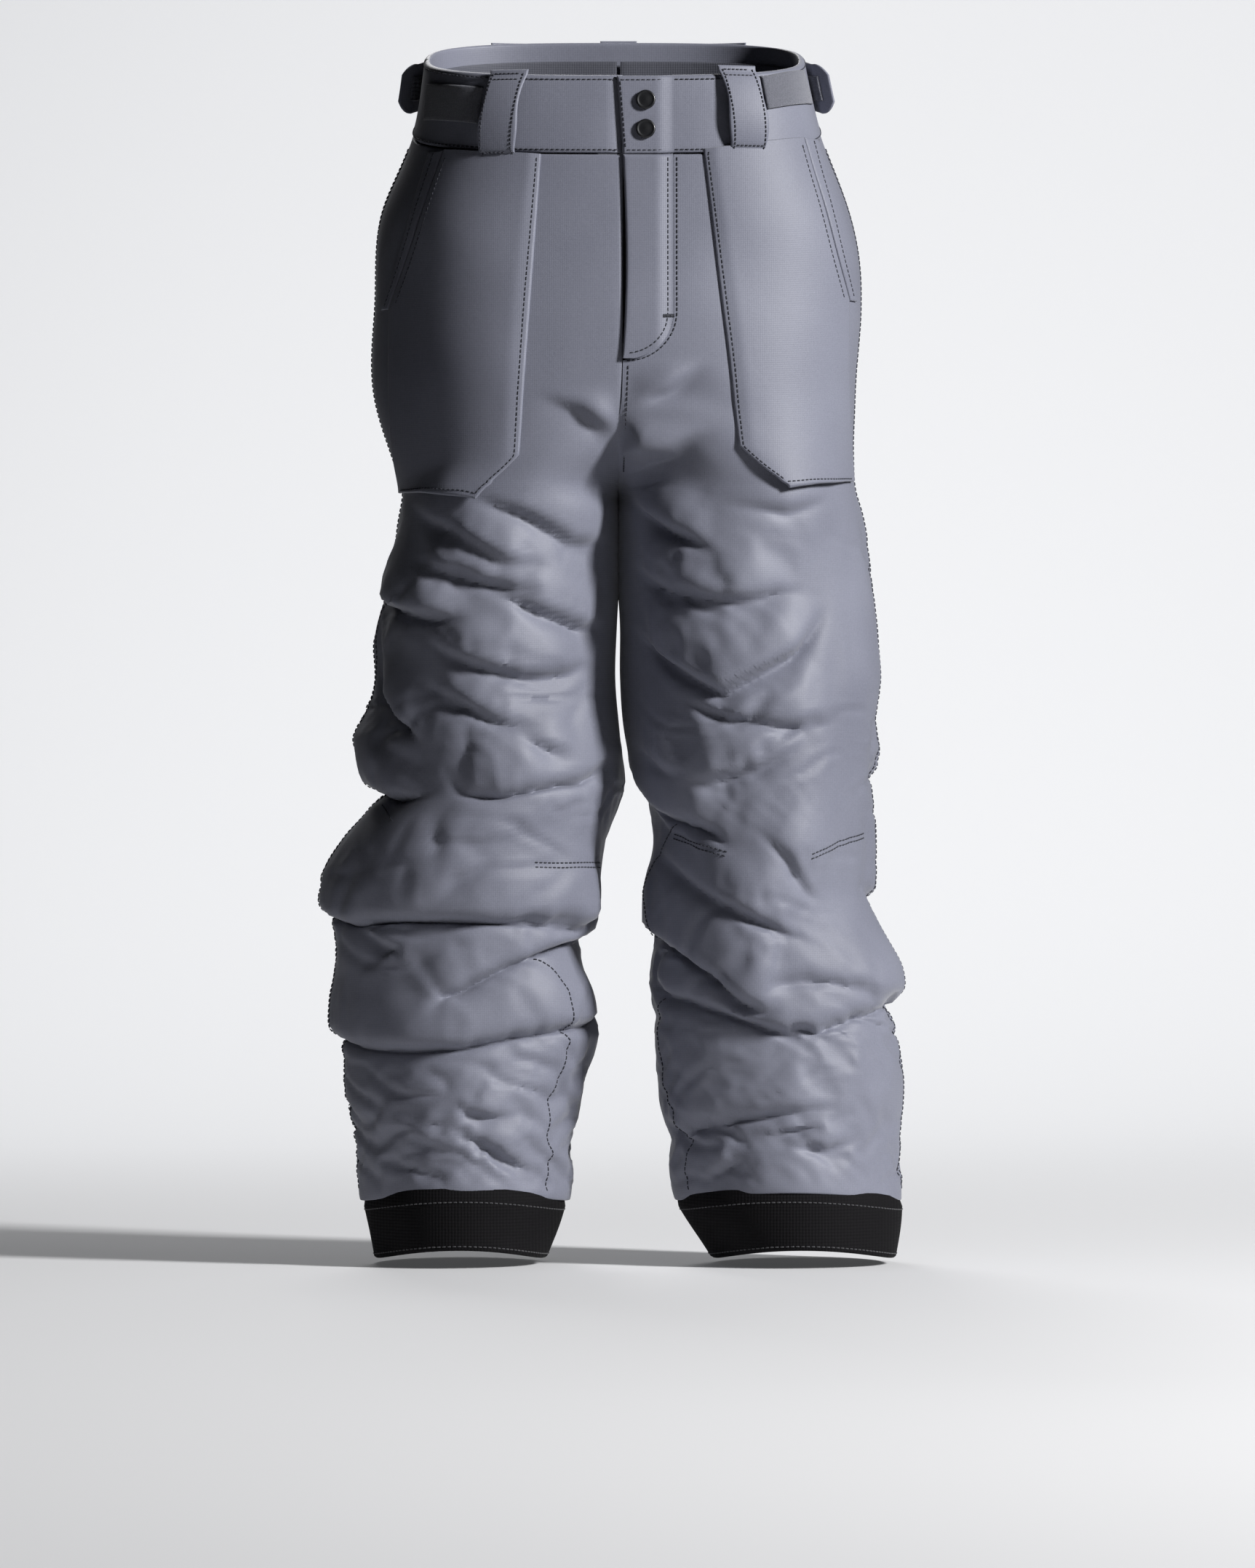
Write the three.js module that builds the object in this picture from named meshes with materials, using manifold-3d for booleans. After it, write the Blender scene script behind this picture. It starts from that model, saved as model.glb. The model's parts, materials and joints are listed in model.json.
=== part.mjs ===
// Ski pants, in millimetres, +Z up. +X is the wearer's left and the front faces -Y.
// The origin is the centre of the waist opening.
import * as THREE from 'three';
import { mergeVertices } from 'three/addons/utils/BufferGeometryUtils.js';
import Module from 'manifold-3d';

const wasm = await Module();
wasm.setup();

const { clamp, lerp, smoothstep } = THREE.MathUtils;

// ---------- driving dimensions ----------
const GAP = 0.4; // clearance between neighbouring pieces
const SHELL = 4; // insulated shell panel
const LINING = 1.8;
const WAISTBAND_HEIGHT = 50;
const WAISTBAND_LIFTS = [0.8, -4.2]; // its outer and inner face, from the shell's outer surface
const WAIST_TILT = 0.2; // the waist drops towards the front
const CROTCH = -285;
const CUFF_TOP = -752;
const HEM = -790;

// Each side's outline at a height: outer and inner edge measured from the centre line.
// Above the crotch an inner edge below zero is the far side of an ellipse that the centre plane cuts.
const RIGHT = -1;
const LEFT = 1;
const OUTLINE = [
  { z: 12, outer: [125, 119], inner: [-125, -119], front: 91, back: 95, square: 3 },
  { z: -50, outer: [135, 133], inner: [-135, -133], front: 97, back: 102, square: 2.9 },
  { z: -105, outer: [156, 153], inner: [-156, -153], front: 103, back: 112, square: 2.6 },
  { z: -165, outer: [160, 159], inner: [-150, -148], front: 109, back: 120, square: 2.4 },
  { z: -225, outer: [157, 156], inner: [-62, -62], front: 111, back: 121, square: 2.3 },
  { z: CROTCH, outer: [147, 156], inner: [0, 0], front: 105, back: 112, square: 2.2 },
  { z: -375, outer: [157, 171], inner: [2, 2.5], front: 99, back: 96, square: 2.1 },
  { z: -465, outer: [163, 171], inner: [-1, 5], front: 100, back: 82, square: 2 },
  { z: -510, outer: [179, 168], inner: [7, 20], front: 98, back: 80, square: 2 },
  { z: -570, outer: [190, 173], inner: [13, 22], front: 90, back: 84, square: 2 },
  { z: -650, outer: [185, 186], inner: [17, 22], front: 84, back: 86, square: 2 },
  { z: CUFF_TOP, outer: [168, 186], inner: [35, 38], front: 76, back: 80, square: 2 },
  { z: HEM, outer: [160, 183], inner: [48, 58], front: 70, back: 76, square: 2 },
];

// Fly: the placket's free edge, its sewn edge, and where its J-shaped end begins and finishes.
const FLY = { edge: 3, sewn: 36, jStart: -160, bottom: -196 };
const ZIP_X = 11;

// ---------- colours ----------
const COLOURS = {
  shell: { color: 0x6f7285, roughness: 0.85, metalness: 0 },
  hem: { color: 0x17151a, roughness: 0.9, metalness: 0 },
  loopPile: { color: 0x5b5e70, roughness: 1, metalness: 0 },
  lining: { color: 0x3d3f4a, roughness: 0.8, metalness: 0 },
  snap: { color: 0x121214, roughness: 0.35, metalness: 0.3 },
  zip: { color: 0x1a1a1c, roughness: 0.5, metalness: 0 },
  elastic: { color: 0x202024, roughness: 0.9, metalness: 0 },
};
const MATERIALS = Object.fromEntries(
  Object.entries(COLOURS).map(([name, look]) => [name, new THREE.MeshStandardMaterial(look)]),
);

const pants = new THREE.Group();

function addPiece(name, geometry, material) {
  const mesh = new THREE.Mesh(geometry, MATERIALS[material]);
  mesh.name = name;
  pants.add(mesh);
  return mesh;
}

// ---------- the body shape ----------

// Catmull-Rom interpolation of one value of OUTLINE down the height.
function outlineAt(z, read) {
  const last = OUTLINE.length - 1;
  let i = OUTLINE.findIndex((row) => row.z <= z);
  if (i === -1) i = last;
  i = Math.max(1, i);
  const rows = [i - 2, i - 1, i, i + 1].map((k) => OUTLINE[clamp(k, 0, last)]);
  const [z0, z1, z2, z3] = rows.map((row) => row.z);
  const [v0, v1, v2, v3] = rows.map(read);
  const span = z2 - z1;
  const t = clamp((z - z1) / span, 0, 1);
  const slope1 = z2 === z0 ? 0 : ((v2 - v0) / (z2 - z0)) * span;
  const slope2 = z3 === z1 ? 0 : ((v3 - v1) / (z3 - z1)) * span;
  const t2 = t * t;
  const t3 = t2 * t;
  return (
    (2 * t3 - 3 * t2 + 1) * v1 + (t3 - 2 * t2 + t) * slope1 +
    (3 * t2 - 2 * t3) * v2 + (t3 - t2) * slope2
  );
}

function tiltAt(z) {
  return WAIST_TILT * smoothstep(z, CROTCH, -60);
}

function sectionAt(side, z) {
  const column = side === RIGHT ? 0 : 1;
  const outer = outlineAt(z, (row) => row.outer[column]);
  const inner = outlineAt(z, (row) => row.inner[column]);
  return {
    centre: (outer + inner) / 2,
    half: (outer - inner) / 2,
    front: outlineAt(z, (row) => row.front),
    back: outlineAt(z, (row) => row.back),
    power: 2 / outlineAt(z, (row) => row.square),
  };
}

const signedPower = (value, power) => Math.sign(value) * Math.abs(value) ** power;

// A point on the body. face is -1 in front and 1 at the back; angle runs from 0 at the side seam
// to PI at the inseam; lift is outward from the shell's outer surface.
function bodyPoint(side, face, angle, z, lift = 0) {
  const s = sectionAt(side, z);
  const depth = (face < 0 ? s.front : s.back) + lift;
  const x = side * (s.centre + (s.half + lift) * signedPower(Math.cos(angle), s.power));
  const y = face * depth * Math.abs(Math.sin(angle)) ** s.power;
  return new THREE.Vector3(x, y, z + tiltAt(z) * y);
}

// The angle at which the section reaches the plane x = cut, or PI below the crotch.
function angleAtX(side, z, cut) {
  const s = sectionAt(side, z);
  const reach = clamp((side * cut - s.centre) / s.half, -1, 1);
  return Math.acos(signedPower(reach, 1 / s.power));
}

// ---------- closed sheets ----------

// A closed sheet between two surfaces of the same grid: point(u, v, layer), layer 0 outside, 1 inside.
function sheet(point, across, down) {
  const positions = [];
  const index = [];
  const columns = across + 1;
  const layerSize = columns * (down + 1);
  for (let layer = 0; layer < 2; layer += 1) {
    for (let j = 0; j <= down; j += 1) {
      for (let i = 0; i <= across; i += 1) positions.push(...point(i / across, j / down, layer));
    }
  }
  const at = (i, j, layer) => layer * layerSize + j * columns + i;
  const quad = (a, b, c, d) => index.push(a, b, c, a, c, d);
  for (let j = 0; j < down; j += 1) {
    for (let i = 0; i < across; i += 1) {
      quad(at(i, j, 0), at(i, j + 1, 0), at(i + 1, j + 1, 0), at(i + 1, j, 0));
      quad(at(i, j, 1), at(i + 1, j, 1), at(i + 1, j + 1, 1), at(i, j + 1, 1));
    }
    quad(at(0, j, 1), at(0, j + 1, 1), at(0, j + 1, 0), at(0, j, 0));
    quad(at(across, j, 0), at(across, j + 1, 0), at(across, j + 1, 1), at(across, j, 1));
  }
  for (let i = 0; i < across; i += 1) {
    quad(at(i, 0, 1), at(i, 0, 0), at(i + 1, 0, 0), at(i + 1, 0, 1));
    quad(at(i, down, 0), at(i, down, 1), at(i + 1, down, 1), at(i + 1, down, 0));
  }
  const geometry = new THREE.BufferGeometry();
  geometry.setAttribute('position', new THREE.Float32BufferAttribute(positions, 3));
  geometry.setIndex(index);
  return outward(geometry);
}

function signedVolume(geometry) {
  const p = geometry.getAttribute('position');
  const [a, b, c] = [new THREE.Vector3(), new THREE.Vector3(), new THREE.Vector3()];
  let volume = 0;
  for (let i = 0; i < geometry.index.count; i += 3) {
    a.fromBufferAttribute(p, geometry.index.getX(i));
    b.fromBufferAttribute(p, geometry.index.getX(i + 1));
    c.fromBufferAttribute(p, geometry.index.getX(i + 2));
    volume += a.dot(b.cross(c)) / 6;
  }
  return volume;
}

// Turns the faces round if they look inward, and adds normals.
function outward(geometry) {
  if (signedVolume(geometry) < 0) geometry.index.array.reverse();
  geometry.computeVertexNormals();
  return geometry;
}

// A closed band round a leg, such as a cuff: point(u, v, layer) as for a sheet, with u going all round.
function ringSheet(point, around, down) {
  const index = [];
  const positions = [];
  for (let layer = 0; layer < 2; layer += 1) {
    for (let j = 0; j <= down; j += 1) {
      for (let i = 0; i < around; i += 1) positions.push(...point(i / around, j / down, layer));
    }
  }
  const at = (i, j, layer) => (layer * (down + 1) + j) * around + (i % around);
  const quad = (a, b, c, d) => index.push(a, b, c, a, c, d);
  for (let i = 0; i < around; i += 1) {
    for (let j = 0; j < down; j += 1) {
      quad(at(i, j, 0), at(i, j + 1, 0), at(i + 1, j + 1, 0), at(i + 1, j, 0));
      quad(at(i, j, 1), at(i + 1, j, 1), at(i + 1, j + 1, 1), at(i, j + 1, 1));
    }
    quad(at(i, 0, 1), at(i, 0, 0), at(i + 1, 0, 0), at(i + 1, 0, 1));
    quad(at(i, down, 0), at(i, down, 1), at(i + 1, down, 1), at(i + 1, down, 0));
  }
  const geometry = new THREE.BufferGeometry();
  geometry.setAttribute('position', new THREE.Float32BufferAttribute(positions, 3));
  geometry.setIndex(index);
  return outward(geometry);
}

// ---------- shell, waistband and lining ----------

// How far the left front is cut away for the fly placket at height z; the right front's edge too.
function frontEdge(side, z, margin) {
  const seam = FLY.edge * smoothstep(z, CROTCH, FLY.bottom);
  if (side === RIGHT || z < FLY.bottom) return seam;
  const fall = clamp((FLY.jStart - z) / (FLY.jStart - FLY.bottom), 0, 1);
  return seam + (FLY.sewn + margin - seam) * Math.sqrt(1 - fall * fall);
}

// The panel's last angle: at the front or back seam above the crotch, at the inseam below it.
function innerAngle(side, face, z, margin) {
  if (z <= CROTCH) return Math.PI;
  return angleAtX(side, z, face < 0 ? frontEdge(side, z, margin) : 0);
}

// Moves a point off the planes of the side seams and the centre seams, so that neighbours part.
function partSeams(point, side, face) {
  point.x += (side * GAP) / 2;
  point.y += (face * GAP) / 2;
  return point;
}

// The rows of the shell's grid, closest together round the fly's curved end and the crotch.
const SEAT_ROWS = [-105, -135, FLY.jStart, -174, -187, FLY.bottom, -215, -238, -262, CROTCH];
const LEG_ROWS = [-325, -375, -425, -465, -510, -560, -610, -660];

const PANEL_COLUMNS = 7;

function legPanel(side, face) {
  const rows = [-WAISTBAND_HEIGHT - GAP, -75, ...SEAT_ROWS, ...LEG_ROWS, -706, CUFF_TOP + GAP];
  const point = (u, v, layer) => {
    const z = rows[Math.round(v * (rows.length - 1))];
    const angle = innerAngle(side, face, z, GAP) * (face < 0 ? 1 - u : u);
    return partSeams(bodyPoint(side, face, angle, z, -SHELL * layer), side, face);
  };
  return sheet(point, PANEL_COLUMNS, rows.length - 1);
}

function waistbandFront(side) {
  const cut = side === RIGHT ? FLY.edge - GAP : FLY.sewn + GAP;
  const point = (u, v, layer) => {
    const z = -WAISTBAND_HEIGHT * v;
    const angle = angleAtX(side, z, cut) * u;
    return partSeams(bodyPoint(side, -1, angle, z, WAISTBAND_LIFTS[layer]), side, -1);
  };
  return sheet(point, 10, 2);
}

function waistbandBack() {
  const point = (u, v, layer) => {
    const z = -WAISTBAND_HEIGHT * v;
    const side = u < 0.5 ? RIGHT : LEFT;
    const angle = angleAtX(side, z, 0) * (1 - Math.abs(1 - 2 * u));
    const p = bodyPoint(side, 1, angle, z, WAISTBAND_LIFTS[layer]);
    p.y += GAP / 2;
    return p;
  };
  return sheet(point, 18, 2);
}

const LINING_INSET = SHELL + 2;
const LINING_FLY_EDGE = { [RIGHT]: -14, [LEFT]: 44 }; // where the lining stops beside the fly

// The lining hangs inside the shell, from the fly round the outside of the leg to the back.
function lining(side) {
  const rows = [-12, -50, ...SEAT_ROWS, ...LEG_ROWS, -700];
  const point = (u, v, layer) => {
    const z = rows[Math.round(v * (rows.length - 1))];
    const face = u < 0.5 ? -1 : 1;
    const besideFly = face < 0 && z >= FLY.bottom;
    const full = besideFly ? angleAtX(side, z, LINING_FLY_EDGE[side]) : innerAngle(side, face, z, GAP);
    const angle = Math.abs(1 - 2 * u) * full;
    const p = bodyPoint(side, face, angle, z, -LINING_INSET - LINING * layer);
    p.x += (side * GAP) / 2;
    if (u === 0 || u === 1) p.y += face * GAP;
    return p;
  };
  return sheet(point, 2 * PANEL_COLUMNS, rows.length - 1);
}

// ---------- pieces laid on the body ----------

// The level on the tilted waist grid of a point of the surface at x and height z.
function levelOf(side, face, x, z) {
  let level = z;
  for (let i = 0; i < 6; i += 1) {
    level = z - tiltAt(level) * bodyPoint(side, face, angleAtX(side, level, x), level).y;
  }
  return level;
}

// A sheet over the front whose rows run from an outer to an inner point: edges(v) gives the two
// points, each [x, z] as seen from the front. lifts are its two faces' distances from the shell.
function overlay(side, edges, lifts, across, down) {
  const point = (u, v, layer) => {
    const [from, to] = edges(v).map(([x, z]) => {
      const level = levelOf(side, -1, x, z);
      return { level, angle: angleAtX(side, level, x) };
    });
    const level = lerp(from.level, to.level, u);
    return bodyPoint(side, -1, lerp(from.angle, to.angle, u), level, lifts[layer]);
  };
  return sheet(point, across, down);
}

const between = (a, b, t) => [lerp(a[0], b[0], t), lerp(a[1], b[1], t)];

// The thigh patch pocket: its upper outer edge is the slanted mouth, its lower inner corner is cut off.
const POCKETS = [
  {
    side: RIGHT, name: 'right', mouth: [[-110, -72], [-151, -158]],
    inner: [[-52, -80], [-64, -264]], base: [[-92, -294], [-143, -287]],
  },
  {
    side: LEFT, name: 'left', mouth: [[110, -70], [152, -158]],
    inner: [[56, -77], [78, -260]], base: [[108, -287], [149, -281]],
  },
];

const PATCH_LIFTS = [5.2, 1.6];
const WELT_LIFTS = [2.8, 0.9];
const WELT = { top: 8, bottom: 5, inner: 2.2 }; // outer edge at both ends, and inner edge, from the mouth
const BAG = { top: -80, bottom: -235, margin: 8, lifts: [-10.5, -12.5] };

function patchPocket({ side, mouth, inner, base }) {
  const rows = [
    [mouth[0], inner[0]],
    [mouth[1], between(inner[0], inner[1], 0.5)],
    [between(mouth[1], base[1], 0.7), inner[1]],
    [base[1], base[0]],
  ];
  const edges = (v) => {
    const row = Math.min(Math.floor(v * 3), 2);
    const t = v * 3 - row;
    return [between(rows[row][0], rows[row + 1][0], t), between(rows[row][1], rows[row + 1][1], t)];
  };
  return overlay(side, edges, PATCH_LIFTS, 6, 9);
}

// The bound edge of the hand pocket's mouth, just outside the patch pocket.
function pocketWelt({ side, mouth }) {
  const shifted = (point, amount) => [point[0] + side * amount, point[1]];
  const edges = (v) => {
    const onMouth = between(mouth[0], mouth[1], v);
    return [shifted(onMouth, lerp(WELT.top, WELT.bottom, v)), shifted(onMouth, WELT.inner)];
  };
  return overlay(side, edges, WELT_LIFTS, 2, 6);
}

// The bag hangs inside the lining, behind the patch.
function pocketBag({ side, mouth, inner, base }) {
  const inset = side * BAG.margin;
  const edges = (v) => [
    between([mouth[0][0], BAG.top], [base[1][0] - inset, BAG.bottom], v),
    between([inner[0][0] + inset, BAG.top], [inner[1][0] + inset, BAG.bottom], v),
  ];
  return overlay(side, edges, BAG.lifts, 5, 6);
}

const LANDING_PATCHES = {
  [RIGHT]: [[-121, -16], [-85, -18], [-86, -48], [-125, -47]],
  [LEFT]: [[115, -14], [90, -17], [92, -42], [122, -40]],
};

function landingPatch(side) {
  const [topOuter, topInner, bottomInner, bottomOuter] = LANDING_PATCHES[side];
  const edges = (v) => [between(topOuter, bottomOuter, v), between(topInner, bottomInner, v)];
  return overlay(side, edges, [3, 1.8], 4, 2);
}

// ---------- fly ----------

// Lifts of each layer of the fly's outer and inner face, from the shell's outer surface.
const FLAP_LIFTS = [2.8, 0.2];
const BAND_UNDERLAP_LIFTS = [-4.6, -6.6];
const FLY_UNDERLAP_LIFTS = [-12.2, -13.6];
const UNDERLAP_EDGE = 33;

// A sheet between two x edges over a span of levels, near the centre of the front.
function frontStrip(edgesAt, top, bottom, lifts, across, down) {
  const point = (u, v, layer) => {
    const level = lerp(top, bottom, v);
    const [x0, x1] = edgesAt(level);
    return bodyPoint(LEFT, -1, angleAtX(LEFT, level, lerp(x0, x1, u)), level, lifts[layer]);
  };
  return sheet(point, across, down);
}

function overlapTab() {
  return frontStrip(() => [FLY.edge, FLY.sewn], 0, -WAISTBAND_HEIGHT, FLAP_LIFTS, 4, 2);
}

// The placket runs from the waistband to the J-shaped end that joins its sewn edge to its free edge.
function flyPlacket() {
  const edges = (level) => [FLY.edge, Math.max(frontEdge(LEFT, level, -2 * GAP), FLY.edge + 2)];
  const top = -WAISTBAND_HEIGHT - GAP;
  return frontStrip(edges, top, FLY.bottom + 1, FLAP_LIFTS, 4, 12);
}

// The straight line that the chain runs along, under the placket.
const ZIP = { top: -60, bottom: -184, lift: -8.5 };
const zipTop = bodyPoint(LEFT, -1, angleAtX(LEFT, ZIP.top, ZIP_X), ZIP.top, ZIP.lift);
const zipBottom = bodyPoint(LEFT, -1, angleAtX(LEFT, ZIP.bottom, ZIP_X), ZIP.bottom, ZIP.lift);
const zipDown = zipBottom.clone().sub(zipTop).normalize();

// A frame on the zip line: X to the wearer's left, Z up the line, Y into the body.
function zipFrame(distance) {
  const up = zipDown.clone().negate();
  const across = new THREE.Vector3(1, 0, 0).projectOnPlane(up).normalize();
  const inward = new THREE.Vector3().crossVectors(up, across);
  const matrix = new THREE.Matrix4().makeBasis(across, inward, up);
  return matrix.setPosition(zipTop.clone().addScaledVector(zipDown, distance));
}

const ZIP_LENGTH = zipTop.distanceTo(zipBottom);

function toSolid(geometry) {
  const bare = geometry.clone();
  bare.deleteAttribute('normal');
  bare.deleteAttribute('uv');
  const merged = mergeVertices(bare);
  const vertProperties = new Float32Array(merged.getAttribute('position').array);
  const triVerts = new Uint32Array(merged.index.array);
  return new wasm.Manifold(new wasm.Mesh({ numProp: 3, vertProperties, triVerts }));
}

function fromSolid(solid) {
  const mesh = solid.getMesh();
  const geometry = new THREE.BufferGeometry();
  geometry.setAttribute('position', new THREE.BufferAttribute(new Float32Array(mesh.vertProperties), 3));
  geometry.setIndex([...mesh.triVerts]);
  geometry.computeVertexNormals();
  return geometry;
}

function box(width, depth, height, x, y, z) {
  return toSolid(new THREE.BoxGeometry(width, depth, height).translate(x, y, z));
}

const join = (solids) => wasm.Manifold.union(solids);

const ZIP_TAPE = { width: 12, thickness: 0.7, offset: 7.3 };
const ZIP_TEETH = { count: 14, start: 10, end: 4, width: 1.6, depth: 2, offset: 1.75, fill: 0.55 };

// One tape with its row of teeth along the edge that faces the other tape; the two rows alternate.
function zipTape(side) {
  const { width, thickness, offset } = ZIP_TAPE;
  const tape = box(width, thickness, ZIP_LENGTH, side * offset, 0, -ZIP_LENGTH / 2);
  const pitch = (ZIP_LENGTH - ZIP_TEETH.start - ZIP_TEETH.end) / ZIP_TEETH.count;
  const phase = side === LEFT ? 0.25 : 0.75;
  const teeth = Array.from({ length: ZIP_TEETH.count }, (_, i) => {
    const z = -ZIP_TEETH.start - pitch * (i + phase);
    return box(ZIP_TEETH.width, ZIP_TEETH.depth, pitch * ZIP_TEETH.fill, side * ZIP_TEETH.offset, 0, z);
  });
  return fromSolid(join([tape, ...teeth])).applyMatrix4(zipFrame(0));
}

const SLIDER = { width: 9, height: 10, plate: 1.2, gap: 2.8, web: 1.2, down: 8 };
const BRIDGE = { width: 1.4, leg: 1.3, legDepth: 3.2, beam: 0.9 };
const PULL = { neck: 2.4, length: 15, tip: 2, slot: 1.2, slotTop: -1.4, slotBottom: -5.6, thickness: 1 };

// Two plates joined by a web at the top, with a bridge in front that holds the pull.
function zipSlider() {
  const plateY = (SLIDER.gap + SLIDER.plate) / 2;
  const front = box(SLIDER.width, SLIDER.plate, SLIDER.height, 0, -plateY, 0);
  const back = box(SLIDER.width, SLIDER.plate, SLIDER.height, 0, plateY, 0);
  const web = box(SLIDER.web, SLIDER.gap + SLIDER.plate, SLIDER.height * 0.5, 0, 0, SLIDER.height * 0.25);
  const outer = -SLIDER.gap / 2 - SLIDER.plate;
  const upperLeg = box(BRIDGE.width, BRIDGE.legDepth, BRIDGE.leg, 0, outer - 1.2, 3.6);
  const lowerLeg = box(BRIDGE.width, BRIDGE.legDepth, BRIDGE.leg, 0, outer - 1.2, -1.6);
  const beam = box(BRIDGE.width, BRIDGE.beam, 6.5, 0, outer - 2.5, 1);
  return fromSolid(join([front, back, web, upperLeg, lowerLeg, beam]));
}

// A flat pull with a slot at its top, hanging from the slider's bridge.
function zipPull() {
  const outline = new THREE.Shape();
  outline.moveTo(-PULL.neck, 0);
  outline.lineTo(PULL.neck, 0);
  outline.lineTo(PULL.tip, -PULL.length);
  outline.absarc(0, -PULL.length, PULL.tip, 0, -Math.PI, true);
  outline.closePath();
  const slot = new THREE.Path();
  slot.moveTo(-PULL.slot, PULL.slotTop);
  slot.lineTo(-PULL.slot, PULL.slotBottom);
  slot.lineTo(PULL.slot, PULL.slotBottom);
  slot.lineTo(PULL.slot, PULL.slotTop);
  slot.closePath();
  outline.holes.push(slot);
  const flat = { depth: PULL.thickness, bevelEnabled: false, curveSegments: 8 };
  const geometry = new THREE.ExtrudeGeometry(outline, flat).rotateX(Math.PI / 2);
  return outward(mergeVertices(geometry.translate(0, PULL.thickness / 2, 0)));
}

// ---------- snaps ----------

const SNAPS = [
  { name: 'upper', x: 17.3, z: -34 },
  { name: 'lower', x: 17.3, z: -53 },
];

// Lathes a profile of [radius, height] pairs about the outward normal at a point of the flap.
function snapPart({ x, z }, profile, lift) {
  const level = levelOf(LEFT, -1, x, z);
  const spot = (dx, dz) => bodyPoint(LEFT, -1, angleAtX(LEFT, level + dz, x + dx), level + dz, lift);
  const centre = spot(0, 0);
  const across = spot(3, 0).sub(spot(-3, 0));
  const up = spot(0, 3).sub(spot(0, -3));
  const normal = new THREE.Vector3().crossVectors(across, up).normalize();
  const turn = new THREE.Quaternion().setFromUnitVectors(new THREE.Vector3(0, 1, 0), normal);
  const points = profile.map(([r, h]) => new THREE.Vector2(r, h));
  const geometry = new THREE.LatheGeometry(points, 16);
  geometry.deleteAttribute('normal');
  geometry.deleteAttribute('uv');
  const closed = fromSolid(toSolid(geometry));
  return outward(closed.applyQuaternion(turn).translate(...centre));
}

const CAP = [[0, 0.1], [6.2, 0.1], [6.35, 0.9], [5.6, 1.6], [4.9, 1.5], [3.2, 1.8], [0, 1.9]];
const SOCKET = [[2.6, -1.5], [5.2, -1.5], [5.2, 0], [2.6, 0], [2.6, -1.5]];
const STUD = [[0, 0], [5, 0], [5, 0.6], [1.9, 0.7], [2.1, 1.5], [1.5, 2], [0, 2.1]];

// ---------- belt loops ----------

const LOOP = { width: 22, thickness: 1.8, sewn: 8, stand: 7.2 };

// A strap held off the waistband by its two sewn ends; the gap takes a belt.
function beltLoop({ face, x, top, bottom, lean }) {
  const side = x < 0 ? RIGHT : LEFT;
  const { width, sewn } = LOOP;
  const surface = (px, pz) => {
    const level = levelOf(side, face, px, pz);
    return face * bodyPoint(side, face, angleAtX(side, level, px), level).y;
  };
  const nearX = Math.abs(x) - width / 2;
  const highest = Math.max(surface(Math.sign(x) * nearX, top), surface(Math.sign(x) * nearX, bottom));
  const strapY = highest + LOOP.stand;
  const height = top - bottom;
  const middle = (top + bottom) / 2;
  const strap = box(width, LOOP.thickness, height, x, face * strapY, middle);
  const ends = [top - sewn / 2, bottom + sewn / 2].map((z) => {
    const shallow = surface(Math.sign(x) * (nearX + 4), z) + 3;
    return box(width - 8, strapY - shallow, sewn, x, face * ((strapY + shallow) / 2), z);
  });
  const shear = new THREE.Matrix4().makeShear(0, 0, 0, 0, lean, 0);
  const geometry = fromSolid(join([strap, ...ends]));
  return outward(geometry.translate(0, 0, -middle).applyMatrix4(shear).translate(0, 0, middle));
}

// ---------- waist tabs ----------

// The tab comes from behind, follows the band round the side and its free end curls outward.
// anchor and curlStart are angles round the back; curl and reach are how far its end stands out
// and forward.
const TAB = {
  top: -7, height: 33, stand: 3.6, thickness: 2,
  anchor: 0.95, curlStart: 0.18, curl: 12, reach: 8,
};

function tabPoint(side, u, v, lift) {
  const z = TAB.top - TAB.height * v;
  const run = lerp(TAB.anchor, TAB.curlStart, Math.min(u / 0.75, 1));
  const base = bodyPoint(side, 1, run, z, TAB.stand + lift);
  const bend = Math.max(0, (u - 0.55) / 0.45);
  base.x += side * TAB.curl * bend * bend;
  base.y -= TAB.reach * Math.max(0, (u - 0.75) / 0.25);
  return base;
}

function waistTab(side) {
  const point = (u, v, layer) => {
    const round = Math.sqrt(Math.max(0, 1 - Math.max(0, (u - 0.75) / 0.25) ** 2 * 0.75));
    return tabPoint(side, u, 0.5 + (v - 0.5) * round, TAB.thickness * (1 - layer));
  };
  return sheet(point, 12, 4);
}

// The hook patch under the tab's free end.
function hookPatch(side) {
  const point = (u, v, layer) => tabPoint(side, lerp(0.6, 0.86, u), lerp(0.25, 0.75, v), -0.7 - layer);
  return sheet(point, 4, 2);
}

// ---------- hems ----------

// A point on the closed ring of a leg: u = 0 at the side seam, then round by the front.
function ringPoint(side, u, z, lift) {
  const face = u < 0.5 ? -1 : 1;
  const angle = Math.PI * (1 - Math.abs(1 - 2 * u));
  return bodyPoint(side, face, angle, z, lift);
}

const GUARD = { lifts: [0.8, -2.8], archRise: 8 };
const GAITER = { top: -704, bottom: -768, inset: 10, taper: 6, thickness: 1.5 };
const ELASTIC = { bottom: -782, inset: 15, thickness: 2.6 };

// The guard's lower edge is flat at the back and arches a little over the boot in front.
function hemGuard(side) {
  const point = (u, v, layer) => {
    const p = ringPoint(side, u, lerp(CUFF_TOP, HEM, v), GUARD.lifts[layer]);
    const front = u < 0.5 ? Math.sin(2 * Math.PI * u) : 0;
    p.z += GUARD.archRise * front ** 2 * v;
    return p;
  };
  return ringSheet(point, 24, 2);
}

// The gaiter inside the hem narrows towards the elastic that grips the boot.
function bootGaiter(side) {
  const point = (u, v, layer) => {
    const inset = GAITER.inset + GAITER.taper * v + GAITER.thickness * layer;
    return ringPoint(side, u, lerp(GAITER.top, GAITER.bottom, v), -inset);
  };
  return ringSheet(point, 16, 2);
}

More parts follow.
